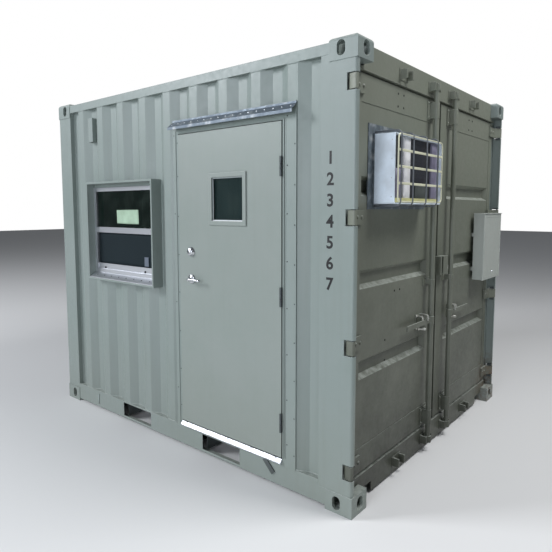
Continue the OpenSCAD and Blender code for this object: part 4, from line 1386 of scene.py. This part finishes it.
    def screws(self) -> None:
        """Screws of the casing, the drip cap and the threshold, and the sealant over the cap."""
        casing_low, casing_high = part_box("door_frame")
        cap_low, cap_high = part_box("drip_cap")
        sill_low, sill_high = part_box("threshold")
        right = [
            (x, casing_low.y, z)
            for x, lowest, pitch in self.screw_columns
            for z in np.arange(lowest, self.screw_top, pitch)
        ]
        left = [(*self.jamb_place, z) for z in self.jamb_screws]
        left += [(self.flange_x, casing_low.y, z) for z in self.flange_screws]
        out = facing(Side.DOOR_WALL.value)
        piece(
            "casing_screws",
            repeated(screw_head(4.2 * MM, 2.6 * MM), np.array(right + left), out),
            HINGE_STEEL,
        )
        for name, x, wide, proud, finish in (
            ("casing_stop_bead", self.stop_x, 7 * MM, 3 * MM, WALL_PAINT),
            ("casing_step_joint", self.step_x, 2 * MM, 0.6 * MM, HINGE_STEEL),
        ):
            strip = block((x - wide / 2, casing_low.y - proud, sill_high.z + 10 * MM),
                          (x + wide / 2, casing_low.y + 2 * MM, cap_low.z - 20 * MM))
            piece(name, strip, finish, bevel=0.25 * MM)
        cap_x = np.linspace(cap_low.x + 0.024, cap_high.x - 0.022, self.cap_screws)
        cap_y = np.full_like(cap_x, (casing_low.y + cap_low.y) / 2)
        cap_z = np.full_like(cap_x, (cap_low.z + cap_high.z) / 2 + 4 * MM)
        cap = np.stack([cap_x, cap_y, cap_z], axis=-1)
        piece("drip_cap_screws", repeated(screw_head(5.2 * MM, 3.4 * MM), cap, out), ZINC_SCREW)
        seam = straight(
            (cap_low.x, casing_low.y, cap_high.z + MM), (cap_high.x, casing_low.y, cap_high.z + MM), 14 * MM
        )
        piece("drip_cap_sealant", bead(seam, 2.0 * MM, (0.0, 0.0, 1.0), 11), PUTTY)
        nose = np.linspace(sill_low.x + 0.05, sill_high.x - 0.05, self.threshold_screws)
        line = np.full_like(nose, self.threshold_line)
        places = np.stack([nose, line, np.full_like(nose, sill_high.z)], axis=-1)
        piece(
            "threshold_screws",
            repeated(screw_head(4 * MM, 1.5 * MM), places, facing(Side.TOP.value)),
            ZINC_SCREW,
        )


@dataclass
class CargoLeaf:
    """One cargo door leaf: bars, pressed panel, gasket, lock rod, brackets, catch and bolts."""

    leaf: Leaf
    hinge_heights: Tuple[float, ...] = (0.254, 0.95467, 1.65533, 2.356)
    rod_y: float = 0.168
    handle_z: float = 0.940
    catch_y: float = 0.107
    blade_bolts: Tuple[float, float] = (1.118, 1.070)
    bracket_bolts: Tuple[Tuple[float, float], Tuple[float, float]] = ((-0.042, 0.040), (-0.044, 0.044))
    bracket_inset: float = 0.08
    spare_rod_holes: Tuple[Tuple[float, float], Tuple[float, float]] = ((0.566, 0.640), (2.315, 2.390))
    stray_holes: Tuple[Tuple[float, float], ...] = (
        (0.560, 1.196), (0.632, 1.196), (0.745, 0.905), (0.745, 0.780)
    )
    catch_straps: Tuple[Point, Point] = ((-0.030, 0.022, 0.052), (0.026, 0.016, 0.040))

    @property
    def body(self) -> str:
        """The CAD body of the leaf."""
        return f"{self.leaf.value[0]}_leaf"

    def at(self, x: float, across: float, z: float) -> Point:
        """A point of the leaf: across is measured from the middle line to the hinges."""
        return x, self.leaf.value[1] * across, z

    def build(self) -> None:
        """Makes and dresses the leaf."""
        side = self.leaf.value[0]
        softened(f"{side}_leaf_frame", END_PAINT_WITH_PAINTED_SHADE, 1.5 * MM)
        softened(f"{side}_leaf_panel", END_PAINT_WITH_PAINTED_SHADE, 2.5 * MM)
        softened(f"{side}_leaf_fittings", END_PAINT_WITH_PAINTED_SHADE, 1.2 * MM)
        softened(f"{side}_lock_rod", END_PAINT_WITH_PAINTED_SHADE, 1.0 * MM)
        dress(f"{side}_leaf_gasket", RUBBER)
        self.bolts()
        self.catch()

    def bolts(self) -> None:
        """Bolt heads on hinge blades and brackets, and the empty bolt holes of a spare rod."""
        side = self.leaf.value[0]
        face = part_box(f"{side}_leaf_panel")[1].x + 3 * MM
        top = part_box(f"{side}_leaf_gasket")[1].z
        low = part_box(f"{side}_leaf_gasket")[0].z
        out = facing(Side.CARGO_END.value)
        blades = [self.at(face + 14 * MM, y, z) for z in self.hinge_heights for y in self.blade_bolts]
        piece(
            f"{side}_hinge_bolts",
            repeated(bolt_head(9 * MM, 6 * MM), np.array(blades), out),
            END_PAINT_WITH_PAINTED_SHADE,
            self.body,
        )
        brackets = [
            self.at(face + 8 * MM, self.rod_y + dy, z + dz)
            for z in (top - self.bracket_inset, low + self.bracket_inset)
            for dy in self.bracket_bolts[0]
            for dz in self.bracket_bolts[1]
        ]
        piece(
            f"{side}_bracket_bolts",
            repeated(bolt_head(6.5 * MM, 5 * MM), np.array(brackets), out),
            END_PAINT_WITH_PAINTED_SHADE,
            self.body,
        )
        holes = [self.at(face, y, z) for y in self.spare_rod_holes[0] for z in self.spare_rod_holes[1]]
        if self.leaf is Leaf.LEFT:
            holes += [self.at(face - 3 * MM, y, z) for y, z in self.stray_holes]
        # The holes are dark rims of painted shade, standing for their inside.
        rim = revolved(
            [
                (0.0, 0.3 * MM),
                (4.5 * MM, 0.3 * MM),
                (6 * MM, 1.4 * MM),
                (7 * MM, 0.0),
                (7 * MM, -1 * MM),
                (0.0, -1 * MM),
            ],
            12,
        )
        piece(f"{side}_empty_holes", repeated(rim, np.array(holes), out), SHADOW, self.body)

    def catch(self) -> None:
        """Handle catch of worn steel: two hooked straps, a pivot and their bolts."""
        side = self.leaf.value[0]
        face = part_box(f"{side}_leaf_panel")[1].x + 8 * MM
        out = facing(Side.CARGO_END.value)
        shapes = []
        for dy, dz, tall in self.catch_straps:
            y = self.rod_y + self.catch_y + dy
            hook = self.handle_z + dz
            corners = [
                self.at(face, y, hook + 0.028),
                self.at(face + tall, y, hook + 0.026),
                self.at(face + tall, y, hook - 0.012),
            ]
            path = rounded_path(corners, 14 * MM, 5)
            shapes.append(swept(path, box_section(5 * MM, 20 * MM, 1.5 * MM), (0.0, 1.0, 0.0)))
        pivot = revolved(
            [
                (0.0, 0.050),
                (0.007, 0.050),
                (0.010, 0.046),
                (0.010, 0.004),
                (0.016, 0.002),
                (0.016, 0.0),
                (0.0, 0.0),
            ],
            14,
        )
        middle = self.rod_y + self.catch_y
        shapes.append(repeated(pivot, np.array([self.at(face, middle, self.handle_z - 0.046)]), out))
        bolts = [
            self.at(face, middle + dy, self.handle_z + dz)
            for dy in (-0.038, 0.038)
            for dz in (-0.040, 0.042)
        ]
        shapes.append(repeated(bolt_head(6 * MM, 5 * MM), np.array(bolts), out))
        piece(f"{side}_handle_catch", joined(shapes), WORN_ZINC, self.body)


@dataclass
class AirConditioner:
    """Window air conditioner through the left leaf, in a galvanised angle behind a wire guard."""

    wire_radius: float = 4.5 * MM
    uprights: Tuple[float, ...] = (-0.915, -0.763, -0.581, -0.416)
    rows: Tuple[float, ...] = (2.025, 1.935, 1.843)
    rim: float = 7 * MM
    recess: float = 45 * MM
    corner: float = 9 * MM
    white_upright: Tuple[float, float] = (-0.785, -0.705)
    grey_upright: Tuple[float, float] = (-0.402, -0.322)
    valve_cover: Tuple[float, float] = (-0.886, -0.816)
    valve_top: float = 1.93
    shroud: Tuple[float, float] = (-0.62, -0.43)
    body: str = "left_leaf"

    def build(self) -> None:
        """Makes and dresses the air conditioner."""
        # The mounting angle's darker zinc is painted shade.
        softened("ac_mounting_angle", SHADED_ANGLE_ZINC, 0.8 * MM)
        self.cabinet()
        self.front()
        self.guard()

    def cabinet(self) -> None:
        """Sheet case: an outer box joined to a recess by a thin rim, as one swept loop of rings."""
        low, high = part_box("ac_cabinet")
        rim, radius = self.rim, self.corner
        wide, tall = high.y - low.y, high.z - low.z
        centre = np.array([0.0, (low.y + high.y) / 2, (low.z + high.z) / 2])
        rings = []
        for x, inset in (
            (low.x, 0.0),
            (high.x - 2 * MM, 0.0),
            (high.x, 1.5 * MM),
            (high.x, rim),
            (high.x - self.recess, rim),
        ):
            section = box_section(
                wide - 2 * inset, tall - 2 * inset, radius - inset if inset < radius else MM
            )
            rings.append(centre + np.column_stack([np.full(len(section), x), section]))
        points = np.concatenate(rings)
        made = piece(
            "ac_case",
            (points, grid_quads(len(rings), len(rings[0]), close_columns=True)),
            ENAMEL,
            self.body,
            smooth=False,
        )
        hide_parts("ac_cabinet")
        screws = [(high.x - 0.018, low.y, z) for z in np.linspace(low.z + 0.04, high.z - 0.04, 4)]
        piece(
            "ac_case_screws",
            repeated(screw_head(4 * MM, 2 * MM), np.array(screws), facing(Side.DOOR_WALL.value)),
            ZINC_SCREW,
            self.body,
        )

    def front(self) -> None:
        """What stands in the open face: fins, two enamelled uprights and a fan shroud edge."""
        low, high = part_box("ac_cabinet")
        back = high.x - 0.044
        inset = 8 * MM
        fins = block(
            (back, low.y + inset, low.z + inset), (back + 14 * MM, high.y - inset, high.z - inset)
        )
        piece("ac_fins", fins, COIL, self.body, bevel=1 * MM)
        foot, head = low.z + 9 * MM, high.z - 9 * MM
        # The white upright takes the whiter enamel, a painted highlight for the reflection it catches.
        strips = [
            (self.white_upright, head, HIGHLIGHT_ENAMEL, "ac_white_upright"),
            (self.grey_upright, head, ENAMEL_SHADE, "ac_grey_upright"),
            (self.valve_cover, self.valve_top, ENAMEL_SHADE, "ac_valve_cover"),
        ]
        for (y0, y1), tip, finish, name in strips:
            path = straight(
                (back + 20 * MM, (y0 + y1) / 2, foot), (back + 20 * MM, (y0 + y1) / 2, tip), 0.04
            )
            piece(
                name, swept(path, box_section(y1 - y0, 16 * MM, 4 * MM), (1.0, 0.0, 0.0)), finish, self.body
            )
        pan = block(
            (high.x - 0.040, low.y + 12 * MM, low.z + 9 * MM),
            (high.x - 0.012, high.y - 12 * MM, low.z + 34 * MM),
        )
        piece("ac_drain_pan", pan, PAN, self.body, bevel=2 * MM)
        shroud = block(
            (back + 12 * MM, self.shroud[0], low.z + 20 * MM), (
                back + 22 * MM, self.shroud[1], low.z + 120 * MM
            )
        )
        piece("ac_fan_shroud", shroud, UNDERSEAL, self.body, bevel=3 * MM)

    def guard(self) -> None:
        """Wire cage: a ring with round corners, three cross wires, and four hoops bent back to the angle."""
        low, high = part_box("ac_guard")
        front = high.x - self.wire_radius
        left, right = self.uprights[0] - 0.026, self.uprights[-1] + 0.076
        bottom, top = low.z + 0.028, high.z - 0.024
        wire = round_section(self.wire_radius, 8)
        slat = box_section(14 * MM, 5 * MM, 1.5 * MM)
        ring = rounded_path(
            [(front, left, bottom), (front, right, bottom), (front, right, top), (front, left, top)],
            0.03,
            7,
            closed=True,
        )
        cream = [swept(ring, wire, (1.0, 0.0, 0.0), closed=True)]
        for z in self.rows:
            cream.append(swept(straight((front, left, z), (front, right, z), 0.05), slat, (1.0, 0.0, 0.0)))
        made = piece("ac_guard_cross_wires", joined(cream), CREAM_WIRE, self.body)
        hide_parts("ac_guard")
        hoops = []
        for y in self.uprights:
            outer, foot, head = front + 6 * MM, low.z + 4 * MM, high.z - 4 * MM
            corners = [(low.x, y, foot), (outer, y, foot), (outer, y, head), (low.x, y, head)]
            hoops.append(swept(rounded_path(corners, 0.035, 7), wire, (0.0, 1.0, 0.0)))
        # The hoops take the darker wire, painted shade.
        piece("ac_guard_hoops", joined(hoops), SHADED_WIRE, self.body)


@dataclass
class PowerBox:
    """Sheet steel power outlet box on the right leaf, with its rain hood and knockouts."""

    body: str = "right_leaf"
    knockout_heights: Tuple[float, ...] = (1.575, 1.530, 1.315, 1.270)
    screw_heights: Tuple[float, ...] = (1.640, 1.500, 1.345, 1.225, 1.180)

    def build(self) -> None:
        """Makes and dresses the box."""
        softened("power_box", BOX_ENAMEL, 1.6 * MM)
        low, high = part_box("power_box")
        out = facing(Side.DOOR_WALL.value)
        side_y = low.y + 7 * MM
        ring = revolved(
            [
                (0.0, 0.4),
                (8.0, 0.4),
                (9.0, 1.2),
                (10.0, 0.3),
                (15.0, 0.3),
                (16.0, 1.2),
                (17.0, 0.0),
                (17.0, -1.0),
                (0.0, -1.0),
            ],
            20,
        )
        knockouts = np.array([(low.x + 0.085, side_y, z) for z in self.knockout_heights])
        piece(
            "power_box_knockouts",
            repeated((ring[0] * 0.8 * MM, ring[1]), knockouts, out),
            BOX_ENAMEL,
            self.body,
        )
        # The side screws are dark dots in the painted shade colour.
        screws = np.array([(low.x + 0.105, side_y, z) for z in self.screw_heights])
        piece(
            "power_box_side_screws",
            repeated(screw_head(3.6 * MM, 2.4 * MM), screws, out),
            SHADOW,
            self.body,
        )
        front = high.x - 7 * MM
        cover = rounded_path(
            [
                (front, low.y + 0.022, low.z + 0.022),
                (front, high.y - 0.022, low.z + 0.022),
                (front, high.y - 0.022, high.z - 0.03),
                (front, low.y + 0.022, high.z - 0.03),
            ],
            0.012,
            4,
            closed=True,
        )
        piece(
            "power_box_cover_lip",
            swept(cover, round_section(2.4 * MM, 6), (1.0, 0.0, 0.0), closed=True),
            BOX_ENAMEL,
            self.body,
        )
        latch = revolved(
            [(0.0, 9.0), (5.0, 9.0), (7.0, 7.0), (7.0, 3.0), (13.0, 2.0), (14.0, 0.0), (0.0, 0.0)], 16
        )
        places = np.array([(front, (low.y + high.y) / 2, low.z + 0.06)])
        piece(
            "power_box_latch",
            repeated((latch[0] * MM, latch[1]), places, facing(Side.CARGO_END.value)),
            ZINC_SCREW,
            self.body,
        )


@dataclass(frozen=True)
class Softbox:
    """A square area light: where it stands, what it looks at, its size, power and colour."""

    name: str
    place: Point
    target: Point
    size: float
    power: float
    colour: str


@dataclass
class Studio:
    """Pale floor, soft lights and the camera."""

    softboxes: Tuple[Softbox, ...] = (
        Softbox("key_softbox", (-8.5, -9.5, 7.5), (0.2, -0.9, 1.2), 4.0, 1360.0, "f6f9ff"),
        Softbox("front_softbox", (2.2, -10.5, 2.8), (1.3, -0.6, 1.5), 4.0, 560.0, "f0f5ff"),
        Softbox("end_softbox", (4.6, 1.0, 7.4), (1.5, 0.0, 2.4), 3.0, 480.0, "f2f3f5"),
    )
    floor_half: float = 40.0
    camera_at: Point = (2.892, -3.550, 1.700)
    yaw: float = 129.5
    pitch: float = -5.35
    lens: float = 33.68
    shift: Tuple[float, float] = (-0.0028, -0.0333)
    ambient: float = 0.17

    def build(self) -> None:
        """Makes the floor, the lights, the surroundings and the camera."""
        self.floor()
        self.surroundings()
        for softbox in self.softboxes:
            self.light(softbox)
        self.camera()

    def floor(self) -> None:
        """A pale floor that isn't part of the object."""
        mesh = bpy.data.meshes.new("studio_floor")
        half = self.floor_half
        mesh.from_pydata(
            [(-half, -half, 0), (half, -half, 0), (half, half, 0), (-half, half, 0)], [], [(0, 1, 2, 3)]
        )
        made = bpy.data.objects.new("studio_floor", mesh)
        mesh.materials.append(Plain("pale_studio_floor", "dadad9", 0.95).material())
        bpy.context.scene.collection.objects.link(made)

    def surroundings(self) -> None:
        """Even pale surroundings."""
        world = bpy.data.worlds.new("studio")
        world.use_nodes = True
        tree = world.node_tree
        seen = tree.nodes["Background"]
        seen.inputs["Color"].default_value = linear("ffffff")
        lit = add_node(tree, "ShaderNodeBackground", values={0: linear("eef3fa"), 1: self.ambient})
        camera_ray = add_node(tree, "ShaderNodeLightPath").outputs["Is Camera Ray"]
        both = add_node(tree, "ShaderNodeMixShader", {0: camera_ray, 1: lit.outputs[0], 2: seen.outputs[0]})
        tree.links.new(both.outputs[0], tree.nodes["World Output"].inputs["Surface"])
        bpy.context.scene.world = world
        bpy.context.scene.view_settings.view_transform = "Standard"

    def light(self, softbox: Softbox) -> None:
        """Makes the area light of a softbox and turns it to its target.

        Args:
            softbox: The softbox.
        """
        lamp = bpy.data.lights.new(softbox.name, "AREA")
        lamp.size = softbox.size
        lamp.energy = softbox.power
        lamp.color = linear(softbox.colour)[:3]
        holder = bpy.data.objects.new(softbox.name, lamp)
        back = np.array(softbox.place) - np.array(softbox.target)
        turn = facing(back / np.linalg.norm(back))
        holder.matrix_world = Matrix.Translation(softbox.place) @ Matrix(turn.tolist()).to_4x4()
        bpy.context.scene.collection.objects.link(holder)

    def camera(self) -> None:
        """The camera, turned by yaw about the upright and pitch above the horizon."""
        lens = bpy.data.cameras.new("camera")
        lens.lens = self.lens
        lens.sensor_width = 36.0
        lens.shift_x, lens.shift_y = self.shift
        holder = bpy.data.objects.new("camera", lens)
        holder.matrix_world = (
            Matrix.Translation(self.camera_at)
            @ Matrix.Rotation(math.radians(self.yaw - 90.0), 4, "Z")
            @ Matrix.Rotation(math.radians(90.0 + self.pitch), 4, "X")
        )
        bpy.context.scene.collection.objects.link(holder)
        bpy.context.scene.camera = holder


def main() -> None:
    """Builds the sub-assemblies in order."""
    logging.basicConfig(level=logging.INFO, format="%(name)s: %(message)s")
    parts: List[object] = [
        Studio(), Shell(), SideWindow(), CabinDoor(), CargoLeaf(Leaf.LEFT), CargoLeaf(Leaf.RIGHT),
        AirConditioner(), PowerBox(),
    ]
    for part in parts:
        part.build()
        log.info("built %s", type(part).__name__)


if __name__ == "__main__":
    main()
